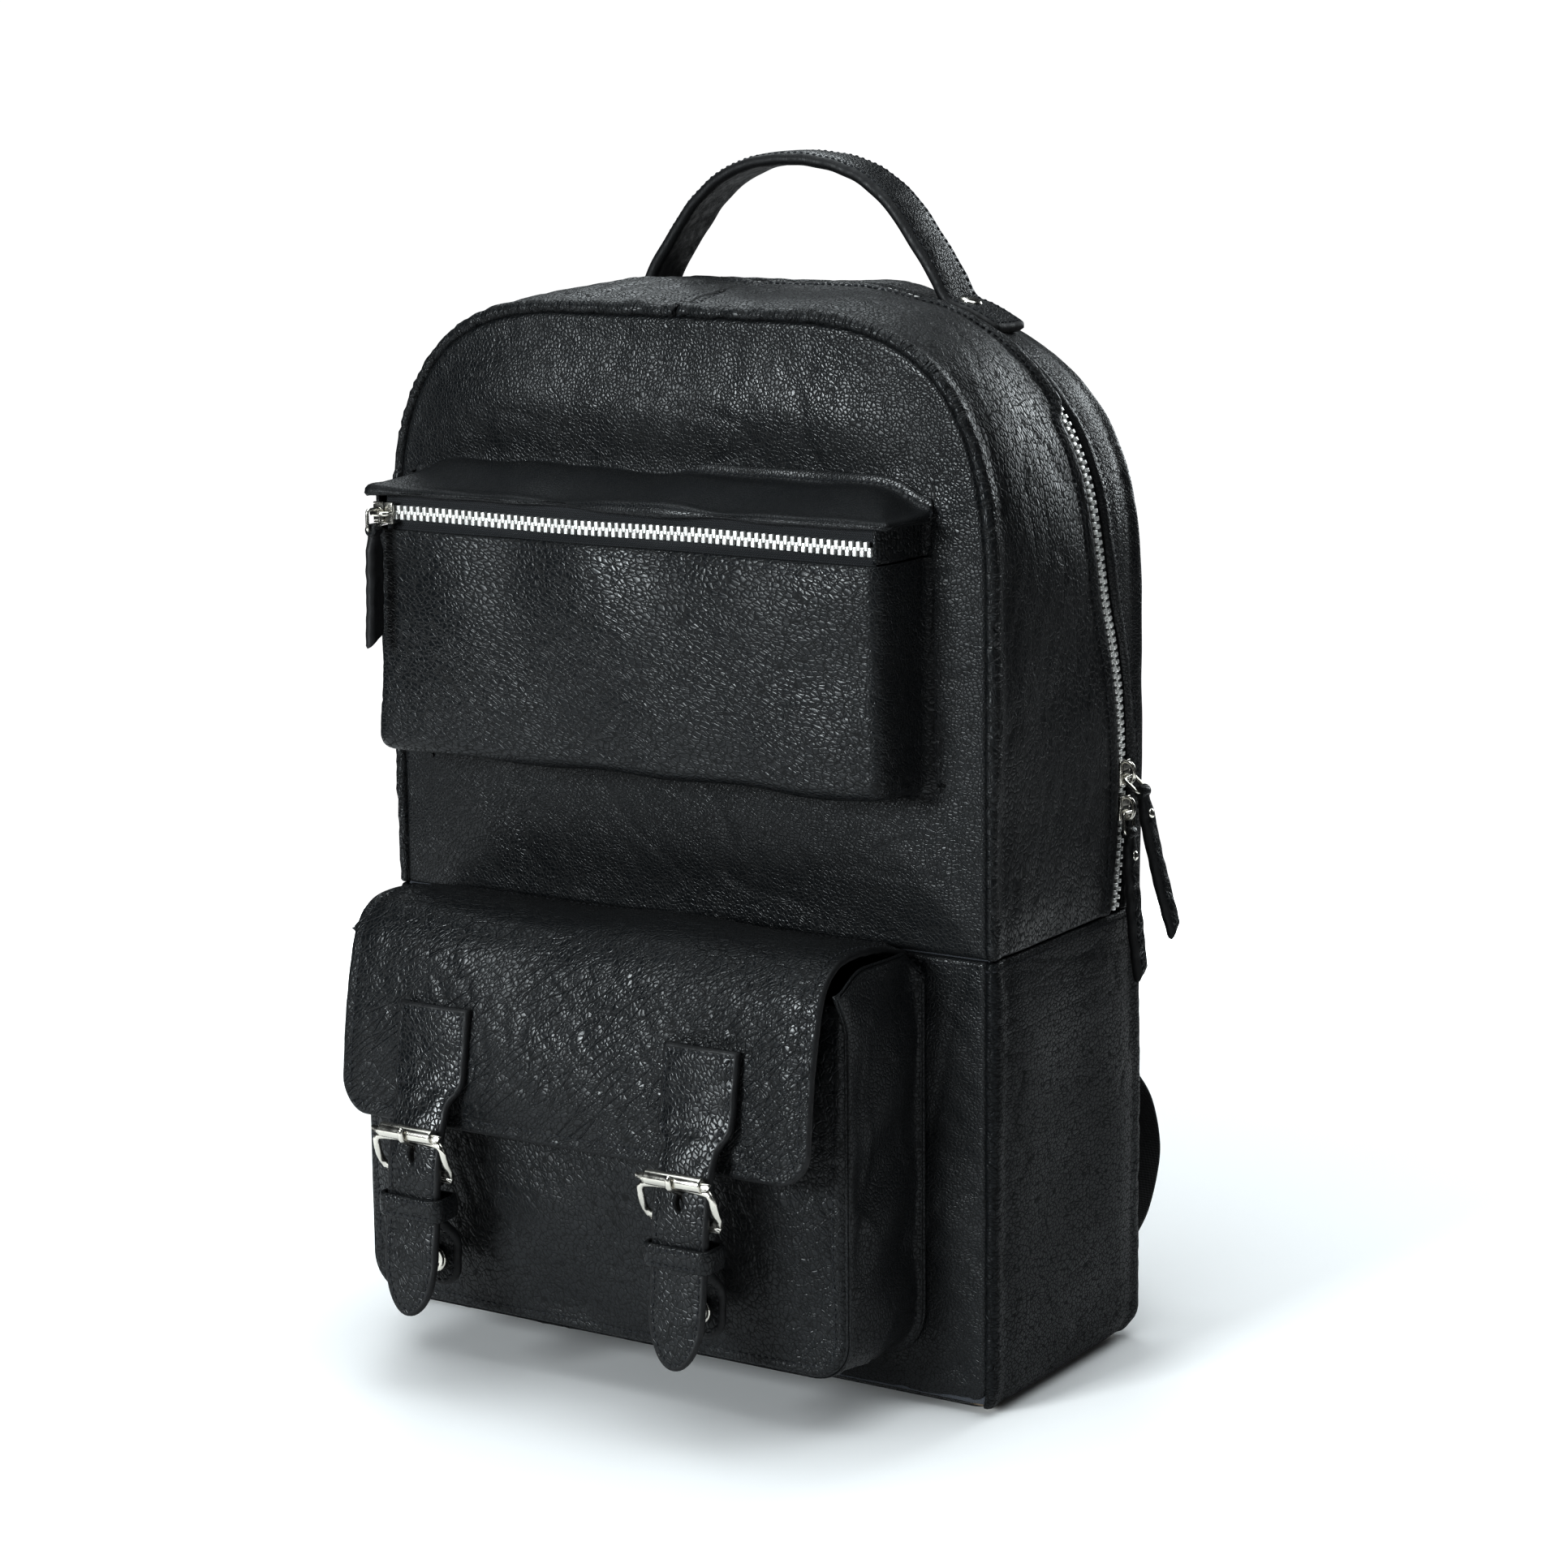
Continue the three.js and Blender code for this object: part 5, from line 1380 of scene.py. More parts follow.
def pocket_zipper():
    low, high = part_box("pocket_zipper_chain")
    z, y = (low.z + high.z) / 2, (low.y + high.y) / 2
    x = np.linspace(low.x, high.x, 200)
    wave = 0.35 * MM * np.sin(x / 0.021)
    path = np.stack([x, np.full(200, y), z + wave], 1)
    teeth("pocket_teeth", path, np.tile([0.0, -1.0, 0.0], (200, 1)), "pocket_zipper_chain")
    low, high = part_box("pocket_zipper_tape")

    def place(p):
        base = np.stack([p[:, 0], np.full(len(p), low.y + 0.4 * MM), z + p[:, 1]], 1)
        return base, np.tile([0.0, -1.0, 0.0], (len(p), 1))

    def cord(p, base, d):
        return 1.3 * MM * bump_at(np.abs(p[:, 1]), 2.4 * MM, 0.9 * MM)

    half = (high.z - low.z) / 2
    pattern = rounded_rectangle(low.x + 6 * MM, high.x - 6 * MM, -half, half, (0, 0, 0, 0))
    tape = Sheet(pattern, place, cord, thickness=0.8 * MM, spacing=2 * MM)
    tape.build("pocket_tape_weave", TAPE, ["pocket_zipper_tape"])
    slider_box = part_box("pocket_slider")
    centre = Vector(((slider_box[0].x + slider_box[1].x) / 2, low.y - 3.3 * MM, z))
    axes = Vector((0, -1, 0)), Vector((0, 0, -1)), Vector((1, 0, 0))
    parts = joined(slider_parts(centre, *axes))
    metal_piece("pocket_slider_metal", parts, "pocket_slider", "pocket_slider")
    link_low, link_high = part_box("pocket_link")
    middle_y = (link_low.y + link_high.y) / 2
    top = np.array([centre.x, middle_y, link_high.z - 0.75 * MM])
    across, down = np.array([0.0, 1.0, 0]), np.array([0, 0, -1.0])
    link = link_parts(top, down, across, 8.3 * MM, link_high.z - link_low.z - 1.5 * MM)
    metal_piece("pocket_link_metal", link, "pocket_link", "pocket_link")
    bar = np.array([centre.x, middle_y, link_low.z + 0.75 * MM])
    leather_pull(bar, down, across, np.array([-1.0, 0, 0]), 49 * MM, 9 * MM, "pocket_pull", 0.03)


# ---- Pockets ----------------------------------------------------------------------------


def pocket_wall(box, corner, rise):
    """The side wall of the lower pocket: a U that ends in a flange sewn flat to the body, and rises at
    its two ends to meet the flap."""
    left, right, bottom, top = box[0].x, box[1].x, box[0].z, box[1].z
    depth = (FRONT_Y - box[0].y) / MM
    lengths = np.cumsum([0, top - bottom - corner, corner * math.pi / 2, right - left - 2 * corner])
    lengths = np.array([*lengths, lengths[3] + lengths[2] - lengths[1], lengths[3] + lengths[2]])
    profile = [(-1.4, depth), (-0.2, depth - 4), (0, depth * 0.5)]
    profile += [(0.1, 9), (0.8, 4.4), (2.4, 2.4), (5.4, 1.8)]
    section = smooth_path(profile, 60) * MM
    across_wall = on_section(section)

    def base_of(p):
        s = p[:, 0]
        out, ahead = across_wall(p[:, 1])
        angle = np.interp(s, lengths, np.radians([0, 0, -90, -90, -180, -180]))
        centre_x = np.interp(s, lengths[[2, 3]], [right - corner, left + corner])
        centre_z = bottom + corner + np.clip(lengths[1] - s, 0, None) + np.clip(s - lengths[4], 0, None)
        radius = corner + out
        climb = np.clip(12 * MM - s, 0, None) + np.clip(s - lengths[-1] + 12 * MM, 0, None)
        ahead = ahead + 10 * MM * ease(climb / (26 * MM)) * ease(1 - p[:, 1] / (26 * MM))
        x, z = centre_x + radius * np.cos(angle), centre_z + radius * np.sin(angle)
        return np.stack([x, FRONT_Y - ahead, z], 1)

    total, width = lengths[-1], path_length(section)

    def relief(p, base, d):
        soft = 1.1 * MM * waves(base, 40 * MM, 51) * ease(p[:, 1] / (10 * MM))
        soft = soft * ease((width - p[:, 1]) / (14 * MM))
        folds = 0.8 * MM * creases(base, 26 * MM, 54, 0.14, (1, 1, 2.6)) * ease(d / (6 * MM))
        return soft - folds - channel(width - p[:, 1], 2.6 * MM)

    w = np.linspace(0, width, 40)
    ear = rise * (0.5 + 0.5 * ease(w / (16 * MM))) * ease((width + 8 * MM - w) / (24 * MM))
    pattern = np.vstack([np.stack([-ear, w], 1), np.stack([total + ear, w], 1)[::-1]])
    pattern = dense_loop(pattern, 2 * MM)[::-1]
    sheet = Sheet(pattern, surface(base_of, -1.0), relief, roll=1.2 * MM, spacing=2.4 * MM)
    sheet.build("lower_pocket_wall", BACK_LEATHER, ["lower_pocket_gusset"])
    seam = width - 2.6 * MM
    return [sheet.at(straight(-rise * 0.5, seam, total + rise * 0.5, seam, int(total / (2 * MM))))]


SQUARE = 3.2  # the power that makes a pocket corner squarer than a circle
RIDGE = 5.0  # the power that rounds the ridges where two slopes of the hood meet


def draped(core, section):
    """A pocket's surface for its flat pattern: beyond the flat core it follows a section of (outward,
    ahead), which runs round the edge of the face and back to the body. The top stays open."""
    x0, x1, z0 = core
    beyond = on_section(section)

    def base_of(p):
        x, z = np.clip(p[:, 0], x0, x1), np.maximum(p[:, 1], z0)
        away = np.stack([p[:, 0] - x, p[:, 1] - z], 1)
        r = (np.abs(away) ** SQUARE).sum(1) ** (1 / SQUARE)
        direction = away / np.maximum(r, 1e-9)[:, None]
        out, ahead = beyond(r)
        return np.stack([x + direction[:, 0] * out, FRONT_Y - ahead, z + direction[:, 1] * out], 1)

    return surface(base_of)


def upper_pocket():
    """Face, sides and bottom are one piece of leather that drapes back to a stitched flange."""
    low, high = UPPER_POCKET_BOX
    depth = (FRONT_Y - low.y) / MM
    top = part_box("upper_pocket_front")[1].z
    core = (low.x + 10.5 * MM, high.x - 14 * MM, low.z + 11 * MM)
    section = smooth_path(
        [(0, depth + 2.4), (5.0, depth + 1.9), (8.2, depth - 0.6), (9.6, depth - 6), (10.0, depth * 0.55),
         (10.2, 9), (10.6, 4.2), (12.6, 2.2), (16.6, 1.8)], 90
    ) * MM
    place, reach = draped(core, section), path_length(section)
    middle, half = (core[0] + core[1]) / 2, (core[1] - core[0]) / 2
    stitch_z = top - 3.2 * MM

    def relief(p, base, d):
        t = np.clip((p[:, 1] - core[2]) / (top - core[2]), 0, 1)
        u = np.abs(p[:, 0] - middle) / half
        fill = 2.6 * MM * np.sin(math.pi * np.clip(t, 0.02, 1)) ** 0.8 * ease((1.06 - u) / 0.5)
        wall = ease((FRONT_Y - base[:, 1] - 3 * MM) / (8 * MM))
        sag = 0.7 * MM * waves(base, 60 * MM, 14) * wall
        drift = creases(turned(base, 24), 18 * MM, 17, 0.12, (2.6, 1, 1))
        near_corner = ease((u - 0.7) / 0.3) * ease((0.335 - p[:, 1]) / 0.05)
        folds = creases(turned(base, 48), 15 * MM, 18, 0.16, (1, 1, 2.6)) * near_corner
        fine = 0.05 * MM * waves(turned(base, 24), 6 * MM, 19, stretch=(2, 1, 1))
        edge = channel(top - p[:, 1], 3.0 * MM) + channel(d, 2.6 * MM, 0.3 * MM)
        return fill + sag + (fine - (0.12 * drift + 0.6 * folds) * MM) * wall - edge

    x0, x1, z0 = core[0] - reach, core[1] + reach, core[2] - reach
    pattern = rounded_rectangle(x0, x1, z0, top, (reach * 0.6, reach * 0.6, 0, 0), 1.8 * MM)
    sheet = Sheet(pattern, place, relief, roll=1.2 * MM, spacing=2.0 * MM)
    replaced = ["upper_pocket_front", "upper_pocket_gusset"]
    sheet.build("upper_pocket_leather", POCKET_LEATHER, replaced)
    rows = [sheet.at(straight(core[0], stitch_z, core[1], stitch_z, 140))]
    rows += seam_at(sheet, pattern, 2.6 * MM, lambda row: row[:, 1] > top - 6 * MM)
    for side, x, sign in (("right", core[1], 1), ("left", core[0], -1)):
        x0, x1 = sorted((x + sign * 6.2 * MM, x + sign * reach))
        patch = rounded_rectangle(x0, x1, top + 0.4 * MM, top + 17 * MM, (0, 0, 0, 0), 1.8 * MM)
        end = Sheet(patch, place, pleats, roll=0.8 * MM, spacing=0.7 * MM)
        end.build(f"upper_pocket_end_{side}", LOWER_POCKET_LEATHER)
    rows += hood(depth)
    stitching("upper_pocket_stitches", rows, "root")


def pleats(p, base, d):
    """The ribbed patches that close the ends of the upper pocket's zipper."""
    return (0.22 * np.sin(p[:, 0] / (0.33 * MM) + waves(base, 9 * MM, 25)) - 1.0) * MM


def hood(depth):
    """The visor over the upper pocket's zipper: a roof whose rim turns down at the front and the sides,
    and whose back edge is turned up and sewn to the front panel."""
    low, high = UPPER_POCKET_BOX
    lip_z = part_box("upper_pocket_hood")[0].z + 5.0 * MM
    x0, x1, front = low.x + 3.5 * MM, high.x - 5.5 * MM, (depth - 2.0) * MM
    rise, hip, turn_at = 7.5 * MM, 13 * MM, 9 * MM
    rim_section = [(0, 0), (2.4, 0.3), (4.1, 1.4), (4.7, 3.2), (4.2, 4.7), (2.6, 4.9)]
    rim = on_section(smooth_path(rim_section, 60) * MM)
    back_section = smooth_path([(1.8, 5.6), (2.0, 3.6), (3.2, 1.3), (6, 0.3), (9, 0)], 40) * MM
    back, turn_up = on_section(back_section), path_length(back_section)

    def roof(x, ahead):
        """A hip roof: it falls to the lip at the front and to the two ends, with rounded ridges."""
        to_front = (front - ahead) / (front - turn_at)
        slopes = np.stack([to_front, (x - x0) / hip, (x1 - x) / hip])
        least = (np.clip(slopes, 0.02, None) ** -RIDGE).sum(0) ** (-1 / RIDGE)
        return rise * np.clip(least, 0, 1)

    def base_of(p):
        x, ahead = np.clip(p[:, 0], x0, x1), np.minimum(p[:, 1], front)
        away = np.stack([p[:, 0] - x, p[:, 1] - ahead], 1)
        r = (np.abs(away) ** SQUARE).sum(1) ** (1 / SQUARE)
        direction = away / np.maximum(r, 1e-9)[:, None]
        out, down = rim(r)
        near, up = back(ahead + turn_up - turn_at)
        turned_up = np.where(ahead < turn_at, up, 0)
        z = lip_z + roof(x, np.maximum(ahead, turn_at)) + turned_up - down
        ahead = np.where(ahead < turn_at, near, ahead)
        return np.stack([x + direction[:, 0] * out, FRONT_Y - ahead - direction[:, 1] * out, z], 1)

    def relief(p, base, d):
        lip = 0.7 * MM * np.sin(p[:, 0] / 0.019 + 1.1) * ease((p[:, 1] - front + 12 * MM) / (16 * MM))
        soft = 0.7 * MM * waves(base, 45 * MM, 23)
        return lip + soft - channel(p[:, 1] - last, 3.4 * MM)

    reach = 8.0 * MM
    last = turn_at - turn_up
    corners = (4 * MM, 4 * MM, reach * 0.5, reach * 0.5)
    pattern = rounded_rectangle(x0 - reach, x1 + reach, last, front + reach, corners, 1.6 * MM)
    sheet = Sheet(pattern, surface(base_of, -1.0), relief, roll=0.9 * MM, spacing=1.8 * MM)
    replaced = ["upper_pocket_hood"]
    sheet.build("upper_pocket_hood_leather", HOOD_LEATHER, replaced)
    return [sheet.at(straight(x0 + 2 * MM, last + 3.4 * MM, x1 - 2 * MM, last + 3.4 * MM, 160))]


def lower_pocket():
    """A bulging face and a separate side wall, with a narrow turned seam between them."""
    low, high = LOWER_POCKET_BOX
    front_low, front_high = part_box("lower_pocket_front")
    depth = FRONT_Y - low.y
    corner, crown = 16 * MM, 12 * MM
    x0, x1, z0, z1 = front_low.x, front_high.x, front_low.z, front_high.z

    def relief(p, base, d):
        t = np.clip((p[:, 1] - z0) / (z1 - z0), 0, 1)
        u = (p[:, 0] - (x0 + x1) / 2) / ((x1 - x0) / 2)
        fill = crown * np.sin(math.pi * t) ** 0.8 * (1 - np.abs(u) ** 4)
        sag = 0.9 * MM * waves(base, 60 * MM, 24)
        near_corner = ease((np.abs(u) - 0.62) / 0.3)
        lines = creases(turned(base, 26), 17 * MM, 27, 0.15, (1, 1, 2.8))
        lines = lines * (0.22 + 0.6 * near_corner) * MM
        seam = 0.6 * MM * bump_at(d, 1.6 * MM, 1.6 * MM) - channel(d, 4.6 * MM)
        return fill + (sag - lines) * ease(d / (12 * MM)) + 0.15 * MM * waves(base, 8 * MM, 29) + seam

    pattern = rounded_rectangle(x0, x1, z0, z1, (corner, corner, 0, 0))
    place = front_place(FRONT_Y - depth - LEATHER, -1.0)
    front = Sheet(pattern, place, relief, roll=3.0 * MM, spacing=2.0 * MM)
    face = LOWER_POCKET_LEATHER
    front.build("lower_pocket_face", face, ["lower_pocket_front"])
    rows = seam_at(front, pattern, 4.6 * MM, lambda row: row[:, 1] > z1 - 10 * MM)
    rows += pocket_wall((low, high), corner, 14 * MM)
    stitching("lower_pocket_stitches", rows, "root")


FLAP_SECTION = smooth_path(
    [(81, 111), (79, 137), (75, 163), (68, 187), (54, 198), (28, 198), (1, 191)], 120
) * MM


def section_place(section, middle):
    """Places a flat pattern (x, s) on a surface whose side view is a section of (ahead, height)."""
    at = np.linspace(0, path_length(section), len(section))
    step = 0.6 * MM

    def place(p):
        ahead, z = on_path(section, at, p[:, 1]).T
        d_ahead, d_z = (on_path(section, at, p[:, 1] + step) - on_path(section, at, p[:, 1] - step)).T
        normal = unit(np.stack([np.zeros(len(p)), -d_z, -d_ahead], 1))
        return np.stack([middle + p[:, 0], FRONT_Y - ahead, z], 1), normal

    return place, at[-1]


def flap():
    middle = (FLAP_BOX[0].x + FLAP_BOX[1].x) / 2
    half = (FLAP_BOX[1].x - FLAP_BOX[0].x) / 2
    place, length = section_place(FLAP_SECTION, middle)

    def relief(p, base, d):
        across = np.abs(p[:, 0]) / half
        droop = -1.8 * MM * ease((across - 0.88) / 0.12)
        lines = creases(turned(base, -40), 13 * MM, 35, 0.14, (3.4, 1, 1)) * ease(d / (5 * MM))
        slack = 0.8 * MM * waves(base, 90 * MM, 36) * ease(d / (18 * MM))
        fine = 0.07 * MM * waves(turned(base, -40), 6 * MM, 38, stretch=(2.6, 1, 1))
        edge = 0.5 * MM * bump_at(d, 2.6 * MM, 2.2 * MM)
        return droop + slack + fine + edge - 0.5 * MM * lines - channel(d, 5.0 * MM, 0.4 * MM)

    pattern = rounded_rectangle(-half, half, 0, length, (14 * MM, 14 * MM, 0, 0))
    sheet = Sheet(pattern, place, relief, thickness=3.0 * MM, spacing=1.9 * MM)
    piece = sheet.build("flap_leather", FLAP_LEATHER, ["flap"], body=None, edge=EDGE)
    rows = seam_at(sheet, pattern, 5.0 * MM, lambda row: row[:, 1] > length - 14 * MM)
    threads = stitching("flap_stitches", rows, None, "body_leather")
    for soft in (piece, threads):
        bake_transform(soft)
    seam = straight(-half + 3 * MM, length - 5 * MM, half - 3 * MM, length - 5 * MM, 110)
    stitching("flap_seam_stitches", [sheet.at(seam)], "root")


# ---- Buckled straps ---------------------------------------------------------------------

STRAP_SECTION = smooth_path(
    [(102, 36), (99.6, 60), (97.2, 80), (96.4, 95), (93.2, 112),
     (88.5, 124), (84.4, 135), (82, 148), (79.9, 162)],
    140,
) * MM
CHAPE_SECTION = smooth_path(
    [(77.8, 42), (77.8, 54), (77.8, 62), (84, 68.5), (90.6, 75), (91, 83), (91, 91)], 60
) * MM
PRONG_PATH = smooth_path(
    [(88.8, 95.2), (90.4, 101), (93.6, 105.8), (98.4, 108.6), (102.1, 110.6), (102.9, 113.2), (102.6, 115.6)],
    26,
) * MM
ROLLER_PROFILE = [(1.75, 13), (2.8, 13), (3.05, 12.75), (3.1, 12.4)]
LOOP_PROFILE = [(1.8, 3.3), (3.4, 3.3), (3.75, 2.9)]
EYE_PROFILE = [(1.75, 1.5), (3.1, 1.5)]
BAR = np.array([88.8, 93.0]) * MM
STRAP_STEP = 0.8 * MM
SNAP_SHIFT = 2.5 * MM
CHAPE_SHIFT = 1.5 * MM
ROLLER = np.array([98.4, 112.5]) * MM


def closing_strap(side, x):
    place, length = section_place(STRAP_SECTION, x)
    half, tab = 13 * MM, 17.5 * MM
    tip = 24 * MM
    narrow, wide = length - 41 * MM, length - 30 * MM
    right = [(half * math.sin(a), tip - tip * math.cos(a)) for a in np.linspace(0, math.pi / 2, 14)]
    right += [(lerp(half, tab, float(ease(t))), lerp(narrow, wide, t)) for t in np.linspace(0, 1, 9)]
    right += [(tab, length)]
    left = [(-a, s) for a, s in reversed(right[1:])]
    outline = dense_loop(np.array([*right, *left]), 1.6 * MM)
    round_slot = np.linspace(0, 2 * math.pi, 17)[:-1]
    slot = np.stack([2 * MM * np.cos(round_slot), length - 61 * MM + 4 * MM * np.sin(round_slot)], 1)

    def relief(p, base, d):
        box = bump_at(p[:, 1], length - 34 * MM, 1.2 * MM) * (np.abs(p[:, 0]) < tab - 3 * MM)
        curve = 0.7 * MM * (1 - (p[:, 0] / half) ** 2)
        fine = 0.12 * MM * waves(base, 9 * MM, 43)
        return curve - channel(d, 2.6 * MM, 0.55 * MM) - 0.5 * MM * box + fine

    sheet = Sheet(outline, place, relief, thickness=4.0 * MM, spacing=1.6 * MM, holes=[slot])
    sheet.build(
        f"strap_{side}_leather", STRAP_LEATHER, [f"strap_{side}"], "flap", EDGE,
    )
    rows = seam_at(sheet, outline, 2.7 * MM)
    edge, low, high = tab - 3.2 * MM, length - 33 * MM, length - 3.2 * MM
    corners = [(-edge, low), (edge, low), (edge, high), (-edge, high)]
    for a, b in ((0, 1), (0, 2), (1, 3)):
        rows.append(sheet.at(np.linspace(corners[a], corners[b], 30)))
    stitching(f"strap_{side}_stitches", rows, "flap")


def buckle_place(x, u, t, lift=0.0):
    """A point of the buckle: u sideways, t from the lower bar up to the roller, lift towards the front."""
    middle = BAR + (ROLLER - BAR) * t
    along = unit(ROLLER - BAR)
    return np.array([x + u, FRONT_Y - (middle[0] + along[1] * lift), middle[1] - along[0] * lift])


def buckle(side, x):
    half = 16.5 * MM
    path = []
    for a, b in rounded_loop(2 * half, 1.0, 0.16, 6):
        t = b + 0.5
        across = np.sign(a) * min(abs(a), half)
        leg = bump_at(t, 0.45, 0.4)
        path.append(buckle_place(x, across * (1 + 0.03 * leg), t, 2.4 * MM * leg * abs(across) / half))
    path = resample(np.array([*path, path[0]]), 72)[:-1]
    frame_mesh = tube(path, 1.6 * MM, 14, True, (0, 0.9, -0.4), 0.85)
    metal_piece(f"buckle_frame_{side}_metal", frame_mesh, "flap", f"buckle_frame_{side}")
    roller = turned_profile(in_mm(both_ends(ROLLER_PROFILE)), buckle_place(x, 0, 1.0), (1, 0, 0), 36)
    metal_piece(f"buckle_roller_{side}_metal", roller, f"roller_{side}", f"buckle_roller_{side}")
    points = [np.array([x, FRONT_Y - a, b]) for a, b in PRONG_PATH]
    widths = np.interp(np.linspace(0, 1, 26), [0, 0.55, 0.8, 1], [1.25, 1.25, 1.1, 0.85]) * MM
    prong = tube(points, widths, 12, False, (1, 0, 0), 1.25)
    eye = turned_profile(in_mm(both_ends(EYE_PROFILE)), buckle_place(x, 0, 0.0), (1, 0, 0), 28)
    metal_piece(f"buckle_prong_{side}_metal", joined([prong, eye]), f"prong_{side}", f"buckle_prong_{side}")


def chape(side, x):
    """The short strap that holds the buckle; its upper end loops round the buckle's bar."""
    place, length = section_place(CHAPE_SECTION, x - CHAPE_SHIFT)
    half = 9.5 * MM

    def relief(p, base, d):
        return 0.4 * MM * (1 - (p[:, 0] / half) ** 2) - channel(d, 2.6 * MM, 0.25 * MM)

    pattern = rounded_rectangle(-half, half, 0, length, (9 * MM, 9 * MM, 0, 0))
    sheet = Sheet(pattern, place, relief, thickness=4.4 * MM, spacing=2 * MM)
    sheet.build(
        f"chape_{side}_leather", STRAP_LEATHER, [f"chape_{side}"], "flap", EDGE,
    )
    stitching(f"chape_{side}_stitches", seam_at(sheet, pattern, 2.6 * MM), "flap")
    loops = joined([
        turned_profile(in_mm(both_ends(LOOP_PROFILE)), buckle_place(x, a * 6.2 * MM, 0.0), (1, 0, 0), 28)
        for a in (-1, 1)
    ])
    plain_piece(f"chape_{side}_loop", loops, STRAP_LEATHER, "flap", "trim_leather")


def keeper(side, x):
    """A band of leather round the strap and the chape."""
    low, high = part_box(f"keeper_{side}")
    wall = 1.9 * MM
    middle = (low + high) / 2
    loop = rounded_loop(high.x - low.x - wall, high.y - low.y - wall, 3.2 * MM, 6)
    loop = dense_loop(loop, 1.5 * MM)
    height = high.z - low.z
    section = rounded_loop(wall, height, 0.8 * MM, 4)
    tangent = unit(np.roll(loop, -1, axis=0) - np.roll(loop, 1, axis=0))
    verts = []
    for (a, b), (ta, tb) in zip(loop, tangent):
        out = np.array([tb, -ta, 0.0])
        for w, h in section:
            bulge = 0.5 * MM * math.cos(math.pi * h / height)
            verts.append(np.array([middle.x + a, middle.y + b, middle.z + h]) + out * (w + bulge))
    band = verts, ring_faces(len(loop), len(section), closed=True)
    plain_piece(f"keeper_{side}_leather", band, STRAP_LEATHER, "flap", "trim_leather", f"keeper_{side}")
    front = loop[loop[:, 1] < loop[:, 1].min() + 1e-6]
    front = front[np.argsort(front[:, 0])]
    rows = []
    for h in (-3.0 * MM, 3.0 * MM):
        y = middle.y - wall / 2 - 0.35 * MM
        points = np.array([[middle.x + a, y + b, middle.z + h] for a, b in front])
        rows.append((points, np.tile([0.0, -1.0, 0.0], (len(points), 1))))
    stitching(f"keeper_{side}_stitches", rows, "flap")


def snaps(side):
    for node, body in (("snap_cap", "flap"), ("snap_stud", "root")):
        low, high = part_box(f"{node}_{side}")
        middle = (low + high) / 2
        middle.x -= SNAP_SHIFT
        r, half = (high.x - low.x) / 2, (high.y - low.y) / 2
        back = [(r - 0.9 * MM, 0.0), (r - 0.2 * MM, 0.25 * MM), (r, 0.7 * MM)]
        face = [(r, 0.5 * MM), (r - 0.4 * MM, 0.1 * MM), (r * 0.62, 0.0)]
        face += [(r * 0.55, 0.35 * MM), (0.1 * MM, 0.4 * MM)]
        profile = [(0.1 * MM, 0.1 * MM - half)]
        profile += [(a, b - half) for a, b in back] + [(a, half - b) for a, b in face]
        disc = turned_profile(profile, middle, (0, -1, 0), 40)
        metal_piece(f"{node}_{side}_metal", disc, body, f"{node}_{side}")


def closures():
    for side in ("left", "right"):
        low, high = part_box(f"strap_{side}")
        x = (low.x + high.x) / 2
        closing_strap(side, x)
        buckle(side, x)
        chape(side, x)
        keeper(side, x)
        snaps(side)


# ---- Handle -----------------------------------------------------------------------------


HANDLE_ARCH = [
    (71.8, 449.4), (66.8, 456.6), (58.5, 467.8), (50, 478.5),
    (38, 488.4), (25, 494.5), (12, 497.3), (0, 498),
]


def handle():
    """One strap: a foot sewn and riveted on each side of the top, and the arch between them."""
    low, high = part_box("handle")
    y = (low.y + high.y) / 2
    half = (high.y - low.y) / 2

    def top_at(x):
        u = np.linspace(0, HALF_LENGTH, 400)
        points, _ = body_surface(u, np.full(400, y))
        return np.interp(x, points[::-1, 0], points[::-1, 2])

    lift = 5.2 * MM
    right = [(x * MM, top_at(x * MM) + lift) for x in (100, 92, 84, 77)]
    right += in_mm(HANDLE_ARCH)
    left = [(-a, b) for a, b in reversed(right[:-1])]
    path = smooth_path([*right, *left], 220)
    length = path_length(path)
    at = np.linspace(0, length, len(path))

    def place(p):
        x, z = on_path(path, at, p[:, 1]).T
        dx, dz = (on_path(path, at, p[:, 1] + STRAP_STEP) - on_path(path, at, p[:, 1] - STRAP_STEP)).T
        normal = unit(np.stack([dz, np.zeros(len(p)), -dx], 1))
        return np.stack([x, y + p[:, 0], z], 1), normal

    def relief(p, base, d):
        from_end = length / 2 - np.abs(p[:, 1] - length / 2)
        crown = 0.9 * MM * (1 - (p[:, 0] / half) ** 2) * ease((from_end - 34 * MM) / (18 * MM))
        return crown - channel(d, 2.8 * MM, 0.35 * MM) + 0.1 * MM * waves(base, 12 * MM, 71)

    pattern = rounded_rectangle(-half, half, 0, length, (1.5 * MM,) * 4, 1.8 * MM)
    sheet = Sheet(pattern, place, relief, thickness=5.0 * MM, spacing=2.0 * MM)
    strap = sheet.build("handle_strap", HANDLE_LEATHER, body=None, edge=EDGE)
    threads = stitching("handle_stitches", seam_at(sheet, pattern, 2.9 * MM), None, "body_leather")
    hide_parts("handle", "handle_foot_left", "handle_foot_right")
    for piece in (strap, threads):
        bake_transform(piece)
    for side, s in (("right", 22 * MM), ("left", length - 22 * MM)):
        point, normal = sheet.at(np.array([[0.0, s]]))
        dome = [(4.9, -1.2), (4.9, 0.2), (4.5, 0.75), (3.2, 1.05), (0.1, 1.15)]
        rivet = turned_profile(in_mm(dome), point[0], normal[0], 36)
        metal_piece(f"handle_rivet_{side}_metal", rivet, "root", f"handle_rivet_{side}")


# ---- Shoulder straps --------------------------------------------------------------------

